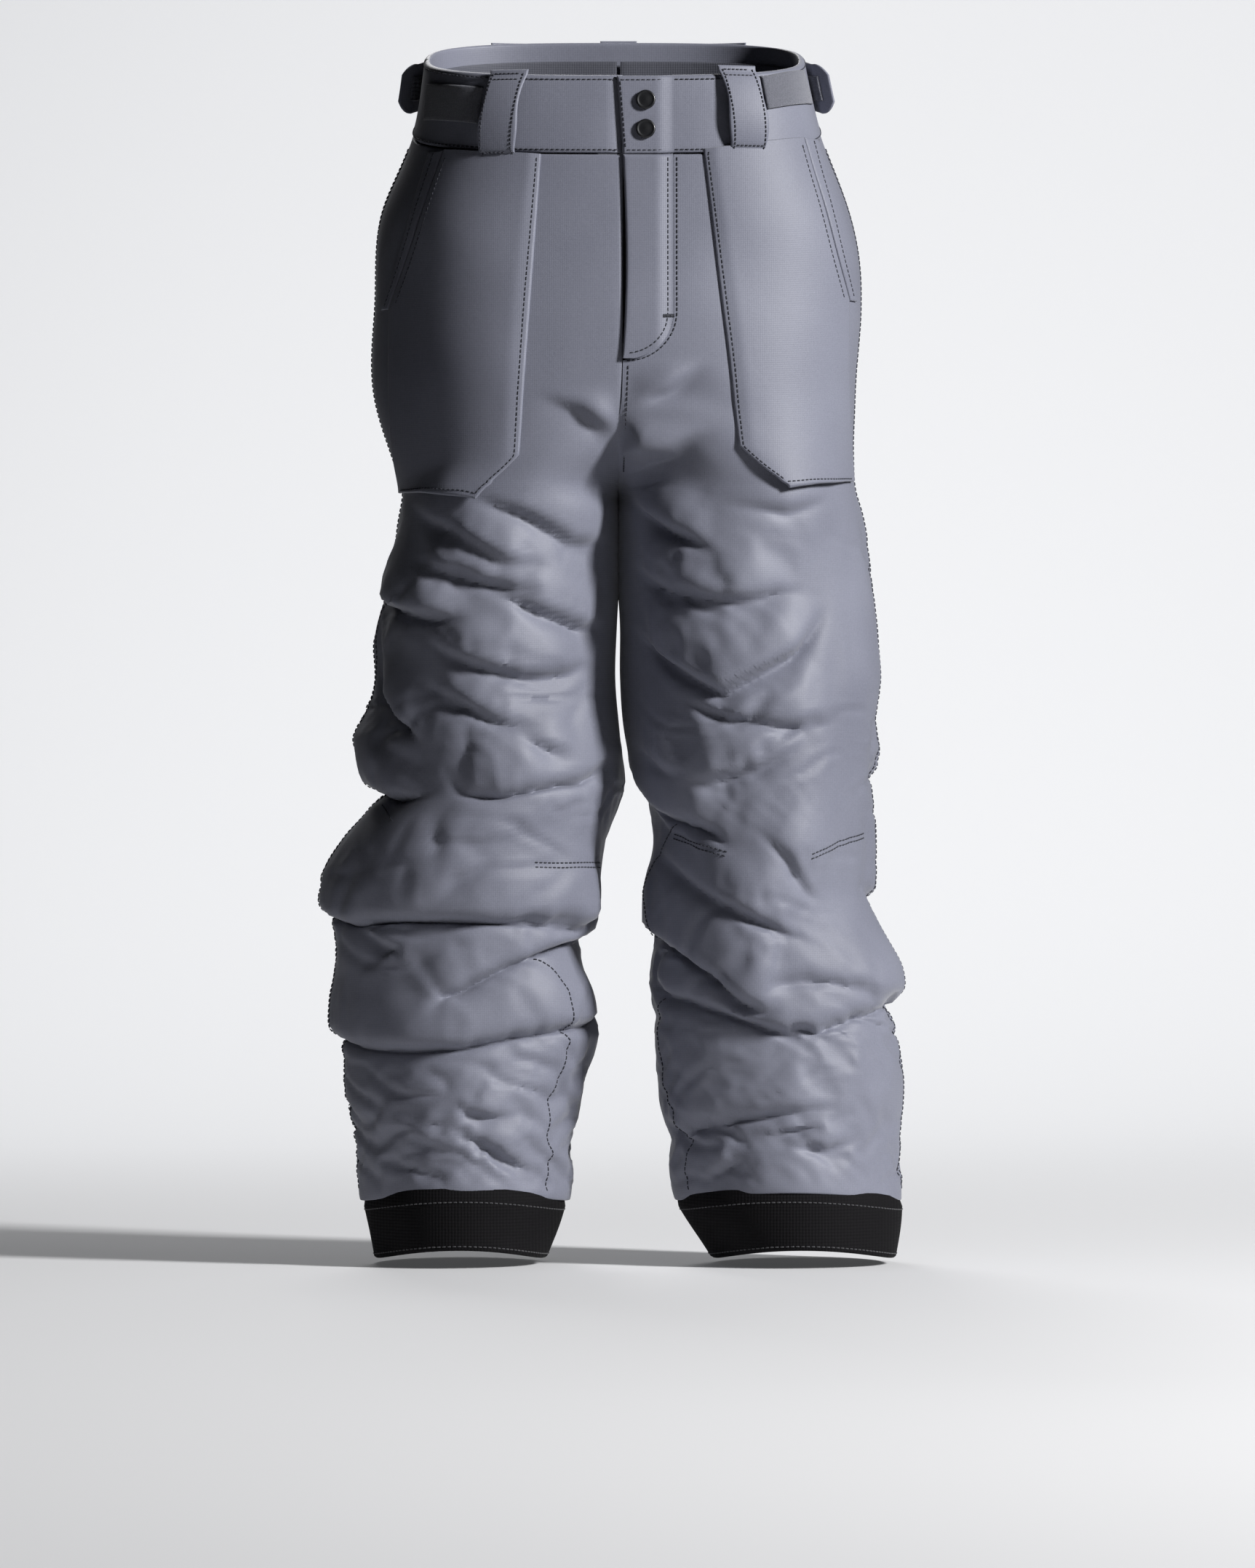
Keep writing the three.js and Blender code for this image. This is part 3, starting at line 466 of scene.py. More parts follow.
def new_object(name, vertices, faces, material):
    mesh = bpy.data.meshes.new(name)
    mesh.from_pydata([tuple(v) for v in vertices], [], faces)
    obj = bpy.data.objects.new(name, mesh)
    bpy.context.scene.collection.objects.link(obj)
    if material:
        mesh.materials.append(material)
    mesh.polygons.foreach_set("use_smooth", [True] * len(mesh.polygons))
    mesh.update()
    return obj


def quads(index):
    """The faces of a grid of vertex numbers."""
    corners = zip(index[:-1, :-1].flat, index[1:, :-1].flat, index[1:, 1:].flat, index[:-1, 1:].flat)
    return [tuple(int(i) for i in face) for face in corners]


def closed(index):
    """A grid of vertex numbers with its first column repeated at the end, as a ring."""
    return np.concatenate([index, index[:, :1]], axis=1)


def face_outward(obj):
    """Flips a closed mesh whose faces look inward."""
    mesh = obj.data
    mesh.calc_loop_triangles()
    points = np.empty(len(mesh.vertices) * 3)
    mesh.vertices.foreach_get("co", points)
    corners = np.empty(len(mesh.loop_triangles) * 3, dtype=int)
    mesh.loop_triangles.foreach_get("vertices", corners)
    a, b, c = (points.reshape(-1, 3)[corners.reshape(-1, 3)[:, k]] for k in range(3))
    if np.sum(a * np.cross(b, c)) < 0:
        mesh.flip_normals()


def spread(count, margin):
    """Steps from 0 to 1, closer together within margin of each end."""
    rim = np.array([0, 0.12, 0.35, 0.65]) * margin
    return np.concatenate([rim, np.linspace(margin, 1 - margin, count), 1 - rim[::-1]])


ALL_EDGES = "left right top bottom"
RING = "ring top bottom"


def padded_sheet(name, surface, size, thickness, material, step=0.0036, rim=0.002, soft=ALL_EDGES):
    """A closed sheet over surface(u, v) -> positions, normals, on which its inner face lies.
    size is its width and length. The edges named in soft are rounded over the rim and the others
    cut square; a ring has no left or right edge."""
    width, length = size
    ring = "ring" in soft
    columns = max(4, round(width / step))
    u = np.linspace(0, 1, columns + 1)[:-1] if ring else spread(columns, min(0.3, rim / width))
    uu, vv = np.meshgrid(u, spread(max(3, round(length / step)), min(0.3, rim / length)))
    position, normal = surface(uu, vv)
    reach = {
        "left": uu * width, "right": (1 - uu) * width, "top": vv * length, "bottom": (1 - vv) * length,
    }
    edge = np.min([np.full(uu.shape, rim)] + [reach[word] for word in reach if word in soft], axis=0)
    swell = np.sqrt(1 - (1 - np.clip(edge / rim, 0, 1)) ** 2)[..., None]
    outer = position + normal * thickness * (0.35 + 0.65 * swell)
    inner = position + normal * thickness * 0.3 * (1 - swell)
    rows, cols = uu.shape
    front = np.arange(rows * cols).reshape(rows, cols)
    if ring:
        front = closed(front)
    behind = front + rows * cols
    rims = [np.stack([front[0], behind[0]]), np.stack([behind[-1], front[-1]])]
    if not ring:
        rims += [np.stack([behind[:, 0], front[:, 0]]), np.stack([front[:, -1], behind[:, -1]])]
    faces = quads(front) + quads(behind[:, ::-1])
    faces += [face for pair in rims for face in quads(pair[::-1])]
    vertices = np.concatenate([outer.reshape(-1, 3), inner.reshape(-1, 3)])
    obj = new_object(name, vertices, faces, material)
    face_outward(obj)
    obj.data.set_sharp_from_angle(angle=math.radians(60))
    return obj


def interpolate(at, run, points):
    return np.array([np.interp(at, run, points[:, axis]) for axis in range(points.shape[1])])


THREAD_RADIUS, THREAD_SIDES = 0.00042, 5


def stitches(name, lines, material, pitch=0.0034, length=0.0026):
    """Threads lying along lines, each a (positions, normals) pair, as one mesh of capsules, whose
    ends dip into the cloth."""
    rings = np.array([-0.5, -0.36, 0.36, 0.5])
    girth = np.array([0.25, 1, 1, 0.25])
    turn = 2 * np.pi * np.arange(THREAD_SIDES) / THREAD_SIDES
    vertices, faces = [], []
    for positions, normals in lines:
        run = run_along(positions)
        for k in range(max(1, int(run[-1] / pitch))):
            middle = (k + 0.5) * min(pitch, run[-1])
            near, far = (interpolate(middle + s * length / 2, run, positions) for s in (-1, 1))
            out = interpolate(middle, run, normals)
            along = unit(far - near)
            out = unit(out - along * (out @ along))
            across = np.cross(along, out)
            spokes = np.outer(np.cos(turn), out) + np.outer(np.sin(turn), across)
            index = len(vertices) + np.arange(len(rings) * THREAD_SIDES).reshape(len(rings), -1)
            for ring, size in zip(rings, girth):
                sink = out * THREAD_RADIUS * (0.7 - (2 * ring) ** 2)
                centre = (near + far) / 2 + along * ring * length + sink
                vertices += list(centre + THREAD_RADIUS * size * spokes)
            faces += quads(closed(index))
            faces += [tuple(map(int, index[0])), tuple(map(int, index[-1, ::-1]))]
    return new_object(name, vertices, faces, material)


def show(obj, body, slot, *replaced):
    """Attaches a piece to its body and hides the CAD nodes that it stands for. slot is not used."""
    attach(obj, body)
    if replaced:
        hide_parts(*replaced)


def cloth_piece(
    name, node, surface, size, thickness, material, flat, held, rests_on,
    body="trousers", slot="shell", area=None, **shape,
):
    """A padded sheet that stands for a CAD node, which it hides. flat, the size that it was cut to, is
    not used.
    """
    piece = padded_sheet(name, surface, size, thickness, material, **shape)
    show(piece, body, slot, node)


def stitching(name, lines, body="trousers", slot="shell", material=None, **threads):
    show(stitches(name, lines, material or THREAD, **threads), body, slot)


# ---------- materials ----------

def new_material(name):
    material = bpy.data.materials.new(name)
    material.use_nodes = True
    tree = material.node_tree
    return material, tree, tree.nodes["Principled BSDF"]


def set_inputs(tree, node, inputs):
    """Sets a node's inputs: each to a constant, or to another node's output."""
    for name, value in inputs.items():
        if isinstance(value, bpy.types.NodeSocket):
            tree.links.new(value, node.inputs[name])
        else:
            node.inputs[name].default_value = value


def add_node(tree, kind, inputs=None, **settings):
    node = tree.nodes.new(f"ShaderNode{kind}")
    for name, value in settings.items():
        setattr(node, name, value)
    set_inputs(tree, node, inputs or {})
    return node


def noise(tree, place, scale, detail=3.0, roughness=0.55):
    inputs = {"Vector": place, "Scale": scale, "Detail": detail, "Roughness": roughness}
    return add_node(tree, "TexNoise", inputs).outputs["Fac"]


def woven_height(tree, place, threads):
    """A plain weave's height field: warp and weft waves added."""
    inputs = {"Vector": place, "Scale": threads, "Distortion": 0.6, "Detail": 1.0}
    warp, weft = (
        add_node(tree, "TexWave", inputs, bands_direction=axis).outputs["Fac"] for axis in ("X", "Z")
    )
    return add_node(tree, "Math", {0: warp, 1: weft}, operation="ADD").outputs[0]


def bump(tree, height, strength, distance, below=None):
    inputs = {"Strength": strength, "Distance": distance, "Height": height}
    if below is not None:
        inputs["Normal"] = below
    return add_node(tree, "Bump", inputs).outputs["Normal"]


def two_tone(tree, factor, dark, light, start=0.0):
    """The colour between dark, up to start, and light."""
    node = add_node(tree, "ValToRGB", {"Fac": factor})
    low, high = node.color_ramp.elements
    low.position = start
    low.color, high.color = (*dark, 1), (*light, 1)
    return node.outputs["Color"]


def fabric(name, dark, light, roughness, threads, weave, wrinkle, sheen, fuzz=0.0, gloss=0.35):
    """A woven cloth: two close colours mottled together, fine wrinkles and a weave in the bump."""
    material, tree, shader = new_material(name)
    place = add_node(tree, "TexCoord").outputs["Object"]
    mottle = {0: noise(tree, place, 900.0, 2.0, 0.7), 1: 0.6, 2: noise(tree, place, 9.0, 2.0)}
    mixed = add_node(tree, "Math", mottle, operation="MULTIPLY_ADD").outputs[0]
    normal = bump(tree, noise(tree, place, 55.0), wrinkle, 0.0016)
    normal = bump(tree, woven_height(tree, place, threads), weave, 0.0003, normal)
    if fuzz:
        normal = bump(tree, noise(tree, place, 1600.0, 4.0, 0.8), fuzz, 0.001, normal)
    set_inputs(tree, shader, {
        "Base Color": two_tone(tree, mixed, dark, light, 0.35), "Roughness": roughness,
        "Specular IOR Level": gloss, "Sheen Weight": sheen, "Sheen Roughness": 0.45, "Normal": normal,
    })
    return material


def smooth_plastic(name, colour, roughness, metallic=0.0, coat=0.0):
    material, tree, shader = new_material(name)
    grain = noise(tree, add_node(tree, "TexCoord").outputs["Object"], 700.0)
    dark, light = ([level * share for level in colour] for share in (0.85, 1.15))
    set_inputs(tree, shader, {
        "Base Color": two_tone(tree, grain, dark, light), "Roughness": roughness,
        "Metallic": metallic, "Coat Weight": coat, "Normal": bump(tree, grain, 0.15, 0.0001),
    })
    return material


SHELL_GREY = ((0.125, 0.130, 0.168), (0.190, 0.197, 0.245))
LINING_GREY = ((0.05, 0.052, 0.066), (0.085, 0.088, 0.11))
PILE_GREY = ((0.060, 0.063, 0.080), (0.20, 0.205, 0.245))
HEM_BLACK = ((0.0015, 0.0014, 0.0017), (0.005, 0.0045, 0.0055))
SHELL_CLOTH = fabric("shell cloth", *SHELL_GREY, 0.55, 260, 0.12, 0.10, 0.15)
BAND_CLOTH = fabric("waistband cloth", *SHELL_GREY, 0.55, 260, 0.12, 0.14, 0.15)
HEM_CLOTH = fabric("hem guard cloth", *HEM_BLACK, 0.85, 150, 0.5, 0.10, 0.0, gloss=0.15)
LINING_CLOTH = fabric("lining cloth", *LINING_GREY, 0.7, 200, 0.2, 0.25, 0.1)
PILE = fabric("loop pile", *PILE_GREY, 0.95, 180, 0.2, 0.3, 0.3, fuzz=1.0)
HOOKS = fabric("hook tape", (0.06, 0.062, 0.078), (0.13, 0.134, 0.16), 0.8, 120, 0.9, 0.1, 0.1, fuzz=0.6)
ELASTIC = fabric("elastic", (0.012, 0.012, 0.014), (0.03, 0.03, 0.034), 0.8, 90, 0.9, 0.1, 0.1)
THREAD = fabric("thread", (0.020, 0.021, 0.028), (0.045, 0.047, 0.060), 0.7, 300, 0.4, 0.0, 0.0)
BLACK_THREAD = fabric("black thread", (0.02, 0.02, 0.022), (0.05, 0.05, 0.055), 0.6, 300, 0.4, 0.0, 0.2)
ZIP_PLASTIC = smooth_plastic("zip plastic", (0.02, 0.02, 0.022), 0.45)
SNAP_METAL = smooth_plastic("snap enamel", (0.006, 0.0065, 0.008), 0.42, 0.0, 0.2)
STUD_METAL = smooth_plastic("snap stud metal", (0.10, 0.10, 0.105), 0.3, 0.9)


# ---------- letting the stacked cloth settle ----------

SETTLE_FRAMES = 10
SETTLE_REACH = 0.004  # how far settling may move the cloth from its given folds
BODY_GAP = 0.016  # between the shell and the leg inside it
KNEE = -0.44  # where the slack of the shin starts
THIGH_SLACK, SHIN_SLACK = 0.06, 0.08  # spare length for each metre of worn length
SLACK_GIRTH = 0.02
CLOTH_SETTINGS = {
    "quality": 5, "mass": 0.003, "air_damping": 1, "bending_model": "ANGULAR",
    "tension_stiffness": 15, "compression_stiffness": 15, "shear_stiffness": 5, "bending_stiffness": 0.08,
    "tension_damping": 5, "compression_damping": 5, "shear_damping": 5, "bending_damping": 0.5,
    "vertex_group_mass": "held", "pin_stiffness": 2,
}
TOUCH_SETTINGS = {
    "distance_min": 0.002, "self_distance_min": 0.0025,
    "use_self_collision": True, "collision_quality": 2,
}


def spare_length(z):
    """How much lower the flat-cut cloth reaches than the worn one: the slack that makes the folds."""
    thigh = THIGH_SLACK * (CROTCH - np.clip(z, KNEE, CROTCH))
    shin = SHIN_SLACK * (KNEE - np.clip(z, CUFF_TOP, KNEE))
    return thigh + shin


def inner_leg(side):
    """The leg that the cloth rests against: a smooth tube inside it."""
    z = np.linspace(-0.02, HEM, 60)[:, None]
    phi = np.linspace(math.pi, -math.pi, 49)[None, :]
    centre, half = section(side, z)
    slim = 1 - BODY_GAP / half
    x = side * (centre + half * slim * np.cos(phi))
    y = -depth_at(phi, z) * slim * np.sin(phi)
    points = np.stack(np.broadcast_arrays(x, y, z), axis=-1)
    index = np.arange(z.size * phi.size).reshape(z.size, phi.size)[:, ::side]
    leg = new_object(f"inner_leg_{side}", points.reshape(-1, 3), quads(index), None)
    leg.modifiers.new("collide", "COLLISION")
    leg.collision.thickness_outer = 0.002
    leg.collision.cloth_friction = 12
    return leg


def cut_shape(side, phi, z):
    """The cloth as it was cut: a little wider than the worn leg, and longer."""
    cut = body_point(side, phi, z)
    girth = 1 + SLACK_GIRTH * smoothstep(-z, 0.29, 0.42)
    centre = side * section(side, z)[0]
    cut[..., 0] = centre + (cut[..., 0] - centre) * girth
    cut[..., 1] *= girth
    cut[..., 2] += shin_rise(phi, z) - spare_length(z)
    return cut


def hold(cloth, z, seamed):
    """Pins the cloth at the hips, at the hem and along the centre seams."""
    held = np.maximum(smoothstep(z, -0.27, -0.21), smoothstep(-z, 0.744, 0.747))
    held[~seamed, :1] = held[~seamed, -1:] = 1
    group = cloth.vertex_groups.new(name="held")
    for number, weight in enumerate(held.reshape(-1)):
        if weight > 0:
            group.add([number], float(weight), "REPLACE")


def run_cloth(cloth, rest_key):
    """Runs the cloth modifier over SETTLE_FRAMES frames and returns where it takes the vertices."""
    modifier = cloth.modifiers.new("cloth", "CLOTH")
    for name, value in CLOTH_SETTINGS.items():
        setattr(modifier.settings, name, value)
    modifier.settings.rest_shape_key = rest_key
    for name, value in TOUCH_SETTINGS.items():
        setattr(modifier.collision_settings, name, value)
    modifier.point_cache.frame_end = SETTLE_FRAMES
    for step in range(1, SETTLE_FRAMES + 1):
        bpy.context.scene.frame_set(step)
    settled = cloth.evaluated_get(bpy.context.evaluated_depsgraph_get()).to_mesh()
    points = np.empty(len(settled.vertices) * 3)
    settled.vertices.foreach_get("co", points)
    return points


def settle(side):
    """Settles one half of the shell by a cloth simulation and returns its grid."""
    phi, z = spread_angles(side, SETTLE_ROWS, SETTLE_COLUMNS)
    start = folded_points(side, phi, z)
    seamed = z[:, 0] < CROTCH  # rows that close round the leg, at the inseam
    index = np.arange(z.size).reshape(z.shape)
    index[seamed, -1] = index[seamed, 0]
    leg = inner_leg(side)
    cloth = new_object(f"settling_{side}", start.reshape(-1, 3), quads(index[:, ::side]), None)
    cloth.shape_key_add(name="Basis")
    cut = cloth.shape_key_add(name="cut")
    cut.data.foreach_set("co", cut_shape(side, phi, z).reshape(-1))
    hold(cloth, z, seamed)
    result = run_cloth(cloth, cut).reshape(start.shape)
    result[seamed, -1] = result[seamed, 0]
    bpy.data.objects.remove(cloth)
    bpy.data.objects.remove(leg)
    bpy.context.scene.frame_set(1)
    rows = np.linspace(0, SETTLE_ROWS, ROWS + 1)[:, None]
    columns = np.linspace(0, SETTLE_COLUMNS, COLUMNS + 1)[None, :]
    moved = cubic(result - start, rows, columns)
    far = np.linalg.norm(moved, axis=-1, keepdims=True)
    phi, z = grid_axes(side)
    free = (1 - touching(phi, z)) * smoothstep(-z, 0.29, 0.33)
    return folded_grid(side) + free[..., None] * moved / np.sqrt(1 + (far / SETTLE_REACH) ** 2)


def worn_grid(side):
    return settle(side)


CLOTH = {side: Cloth(side, worn_grid(side)) for side, _ in SIDES}


# ---------- places on the worn shape ----------

def choose(first, one, other):
    """Of two (positions, normals) pairs, the one where first is true and the other elsewhere."""
    return tuple(np.where(first[..., None], a, b) for a, b in zip(one, other))


def level_of(side, face, x, z):
    """The level on the tilted waist grid of the place seen at x and height z."""
    level = z
    for _ in range(6):
        depth = body_point(side, -face * angle_at(side, level, x), level)[..., 1]
        level = z - tilt_at(level) * depth
    return level


def place_at(side, face, x, z, lift):
    """The place on the waistband or shell seen at x and height z, looking at a face."""
    x, z = np.broadcast_arrays(np.asarray(x, float), np.asarray(z, float))
    level = level_of(side, face, x, z)
    phi = -face * angle_at(side, level, x)
    band = with_normal(side, phi, level, lift)
    u = 0.5 * (1 - phi / full_angle(side, level, face))
    shell = CLOTH[side].at(u, level, np.broadcast_to(lift, x.shape))
    return choose(level > TOP_ROW, band, shell)


ROW_STEP = 0.001


def row_along(points, place):
    """Follows a line of (x, z) points over place(x, z) -> position, normal."""
    line = np.array(points)
    run = run_along(line)
    at = np.linspace(0, run[-1], max(3, int(run[-1] / ROW_STEP)))
    return place(*interpolate(at, run, line))


def between(a, b, t):
    """Points part of the way from a to b, for an array of fractions t."""
    return a[0] + (b[0] - a[0]) * t, a[1] + (b[1] - a[1]) * t


TACK_LENGTH, TACK_WIDTH = 0.007, 0.0022


def bar_tack(x, z, place, upright=False):
    """A dense bar of short threads, as lines for stitches()."""
    half = TACK_WIDTH / 2
    lines = []
    for shift in np.linspace(-0.5, 0.5, 10) * TACK_LENGTH:
        if upright:
            ends = ((x - half, z + shift), (x + half, z + shift))
        else:
            ends = ((x + shift, z - half), (x + shift, z + half))
        lines.append(row_along(ends, place))
    return lines


# ---------- shell panels ----------

def fly_cut(z):
    """The left front's edge at height z: along the placket's sewn edge, then round its J-shaped end."""
    seam = seam_x(z)
    fall = np.clip((FLY_TURN - z) / (FLY_TURN - FLY_BOTTOM), 0, 1)
    reach = seam + (FLY_SEWN - seam) * np.sqrt(1 - fall**2)
    return np.where(z < FLY_BOTTOM, seam, reach)


def panel_surface(side, front):
    cloth = CLOTH[side]

    def surface(u, v):
        z = TOP_ROW + v * (BOTTOM_ROW - TOP_ROW)
        if not front:
            return cloth.at(0.5 + 0.5 * u, z, np.full(z.shape, -SHELL))
        start = np.where(z > LAP_TOP, cloth.u_at_x(fly_cut(z), z), 0.0) if side == LEFT else 0.0
        return cloth.at(start + (0.5 - start) * u, z, np.full(z.shape, -SHELL))

    return surface


def shell_panels():
    for side, name in SIDES:
        for front in (True, False):
            label = f"{name}_{'front' if front else 'back'}_panel"
            soft = "right top bottom" if side == LEFT and front else ALL_EDGES
            cloth_piece(
                f"{label}_cloth", label, panel_surface(side, front), (0.27, 0.73), SHELL, SHELL_CLOTH,
                (0.30, 0.80), "hung", ["waistband_back"], area=0.19, step=0.0029, rim=0.0016, soft=soft,
            )


LINING_TOP, LINING_LOW = -0.012, -0.700
LINING_FLY = {RIGHT: -0.014, LEFT: 0.044}  # x of the lining's edge beside the fly
LINING_INSET, LINING_LEG_INSET = 0.0080, 0.0128  # from the worn shape, and how much more on the legs


def linings():
    for side, name in SIDES:

        def surface(u, v):
            z = LINING_TOP + v * (LINING_LOW - LINING_TOP)
            phi = (full_angle(side, z) - 0.001) * (1 - 2 * u)
            beside_fly = (phi > 0) & (z > FLY_BOTTOM)
            phi = np.where(beside_fly, np.minimum(phi, angle_at(side, z, LINING_FLY[side])), phi)
            inset = LINING_INSET + LINING_LEG_INSET * smoothstep(-z, 0.24, 0.32)
            return with_normal(side, phi, z, -inset)

        cloth_piece(
            f"{name}_lining_cloth", f"{name}_lining", surface, (0.5, 0.69), 0.0014, LINING_CLOTH,
            (0.44, 0.69), "hung", ["waistband_back"], slot="lining", step=0.006,
        )


# ---------- waistband ----------

BAND_LIFT = -0.0036  # of the waistband's inner face
BAND_THICK = 0.0044
EDGE_ROW = 0.0025  # from an edge to the topstitching beside it


def waistbands():
    for side, name in SIDES:
        inner = FLY_EDGE - 0.0004 if side == RIGHT else FLY_SEWN

        def surface(u, v):
            z = -BAND * v
            return with_normal(side, angle_at(side, z, inner) * u, z, BAND_LIFT)

        soft = ALL_EDGES if side == RIGHT else "left top bottom"
        cloth_piece(
            f"waistband_{name}_cloth", f"waistband_{name}", surface, (0.15, BAND), BAND_THICK,
            BAND_CLOTH, (0.16, 0.05), "stretched", [f"{name}_front_panel"], soft=soft,
        )

    def back(u, v):
        z = -BAND * v
        right = with_normal(RIGHT, -full_angle(RIGHT, z) * 2 * u, z, BAND_LIFT)
        left = with_normal(LEFT, -full_angle(LEFT, z) * 2 * (1 - u), z, BAND_LIFT)
        return choose(u < 0.5, right, left)

    cloth_piece(
        "waistband_back_cloth", "waistband_back", back, (0.36, BAND), BAND_THICK, BAND_CLOTH,
        (0.37, 0.05), "stretched", ["right_back_panel", "left_back_panel"],
    )
    waistband_stitching()


def waistband_stitching():
    """A row just inside the top edge and one just above the lower seam, all the way round."""
    lines = []
    outer = BAND_LIFT + BAND_THICK
    for side, _ in SIDES:
        for z in (-EDGE_ROW, -BAND + EDGE_ROW):
            front = float(angle_at(side, z, FLY_SEWN if side == LEFT else 0.0))
            phi = np.linspace(front, -float(full_angle(side, z)), 400)
            lines.append(with_normal(side, phi, z, outer))
    stitching("waistband_stitching", lines)


def landing_patches():
    corners = {
        RIGHT: ((-0.124, -0.020), (-0.087, -0.025), (-0.090, -0.049), (-0.126, -0.044)),
        LEFT: ((0.120, -0.010), (0.092, -0.018), (0.096, -0.039), (0.126, -0.032)),
    }
    for side, name in SIDES:
        top_out, top_in, low_in, low_out = corners[side]

        def surface(u, v):
            outer, inner = between(top_out, low_out, v), between(top_in, low_in, v)
            return place_at(side, FRONT, *between(outer, inner, u), BAND_LIFT + BAND_THICK - 0.0002)

        cloth_piece(
            f"{name}_landing_pile", f"{name}_landing_patch", surface, (0.037, 0.025), 0.0020, PILE,
            (0.048, 0.029), "stretched", [f"waistband_{name}"], slot="loop_pile", step=0.0016,
            rim=0.0012,
        )


# ---------- waist tabs ----------

TAB_HEIGHT, TAB_STAND = 0.033, 0.0036
TAB_THICK = 0.0022
TAB_ANCHOR, TAB_CURL_START = 0.95, 0.18  # angles round the back
TAB_CURL, TAB_REACH = 0.012, 0.008


def tab_place(side, u, v, lift):
    """u runs from the sewn end behind to the free end, which curls away from the body."""
    z = -0.007 - TAB_HEIGHT * v
    run = TAB_ANCHOR + (TAB_CURL_START - TAB_ANCHOR) * np.minimum(u / 0.75, 1)
    point, normal = with_normal(side, -run, z, TAB_STAND + lift)
    bend = np.maximum(0, (u - 0.55) / 0.45)
    point[..., 0] += side * TAB_CURL * bend**2
    point[..., 1] -= TAB_REACH * np.maximum(0, (u - 0.75) / 0.25)
    turn = (0.9 * bend**2)[..., None]
    return point, unit(normal * (1 - turn) + np.array([side * 0.5, 0.85, 0]) * turn)


def rounded_end(u):
    return np.sqrt(1 - np.maximum(0, (u - 0.80) / 0.20) ** 2 * 0.75)


def tab_row():
    """The topstitching's (u, v): out along the top edge, across the free end and back."""
    long, short = np.linspace(0.05, 0.93, 60), np.linspace(0.09, 0.91, 20)
    u = np.concatenate([long, np.full(20, 0.93), long[::-1]])
    v = np.concatenate([np.full(60, 0.09), short, np.full(60, 0.91)])
    return u, v


def waist_tabs():
    for side, name in SIDES:
        tab = f"{name}_waist_tab"

        def surface(u, v, lift=0.0):
            return tab_place(side, u, 0.5 + (v - 0.5) * rounded_end(u), lift)

        cloth_piece(
            f"{name}_tab_cloth", tab, surface, (0.085, TAB_HEIGHT), TAB_THICK, BAND_CLOTH,
            (0.088, 0.033), "stretched", ["waistband_back"], body=tab, step=0.002, rim=0.0014,
        )
        stitching(f"{name}_tab_stitching", [surface(*tab_row(), TAB_THICK)], tab)

        def hook_surface(u, v):
            point, normal = tab_place(side, 0.60 + 0.26 * u, 0.75 - 0.5 * v, -0.0002)
            return point, -normal

        cloth_piece(
            f"{name}_hook_cloth", f"{name}_hook_patch", hook_surface, (0.026, 0.017), 0.0014, HOOKS,
            (0.026, 0.017), "stretched", [tab], body=tab, slot="hook", step=0.0014, rim=0.001,
        )


# ---------- fly ----------

FLAP_LIFT = 0.0002  # of the flap's inner face, over the right side's edge
FLAP_THICK = 0.0026
OVERLAP_SLANT = 0.004  # how much further the overlap reaches at the top of the band


def flap_place(x, z):
    """The flap's inner face: raised at its free edge, level with the shell at its sewn edge."""
    phi = angle_at(LEFT, z, x)
    sink = smoothstep(x, 0.024, FLY_SEWN)
    return with_normal(LEFT, phi, z, FLAP_LIFT + sink * (-FLAP_THICK - FLAP_LIFT))


def flap_outside(x, z):
    point, normal = flap_place(x, z)
    return point + normal * FLAP_THICK, normal


def overlap_edge(v):
    """x of the overlap's free edge, v of the way down the band."""
    return FLY_EDGE - OVERLAP_SLANT * (1 - v)


def overlap_surface(u, v):
    edge = overlap_edge(v)
    x = edge + (FLY_SEWN - edge) * u
    point, normal = flap_place(x, -BAND * v)
    return point + normal * 0.0008 * smoothstep(x, 0.02, FLY_SEWN)[..., None], normal


def placket_surface(u, v):
    z = TOP_ROW + v * (FLY_BOTTOM + 0.001 - TOP_ROW)
    edge = FLY_EDGE + 0.002 * np.sin(math.pi * v)
    reach = np.maximum(fly_cut(z) - 0.0002, edge + 0.001)
    return flap_place(edge + (reach - edge) * u, z)


def fly():
    cloth_piece(
        "waistband_overlap_cloth", "waistband_overlap", overlap_surface, (0.035, BAND), FLAP_THICK,
        BAND_CLOTH, (0.036, 0.05), "stretched", ["waistband_right"], body="fly_flap", step=0.002,
        soft="left top bottom",
    )
    cloth_piece(
        "fly_placket_cloth", "fly_placket", placket_surface, (0.033, 0.145), FLAP_THICK, SHELL_CLOTH,
        (0.035, 0.146), "hung", ["waistband_overlap"], body="fly_flap", step=0.002, soft="left top",
    )
    fly_stitching()
    underlaps()


def j_row(inset):
    """The J-shaped row: down beside the sewn edge, then round to the free edge."""
    z = np.linspace(-0.052, FLY_TURN, 120)
    straight = np.stack([np.full(z.shape, FLY_SEWN - inset), z], axis=-1)
    turn = np.linspace(0, math.pi / 2, 60)[1:]
    width = FLY_SEWN - inset - FLY_EDGE - 0.002
    depth = FLY_TURN - FLY_BOTTOM - inset - 0.001
    x = FLY_EDGE + 0.002 + width * np.cos(turn)
    return np.concatenate([straight, np.stack([x, FLY_TURN - depth * np.sin(turn)], axis=-1)])


def level_row(left, right, z):
    """A level row of (x, z) points."""
    return np.stack([np.linspace(left, right, 40), np.full(40, z)], axis=-1)


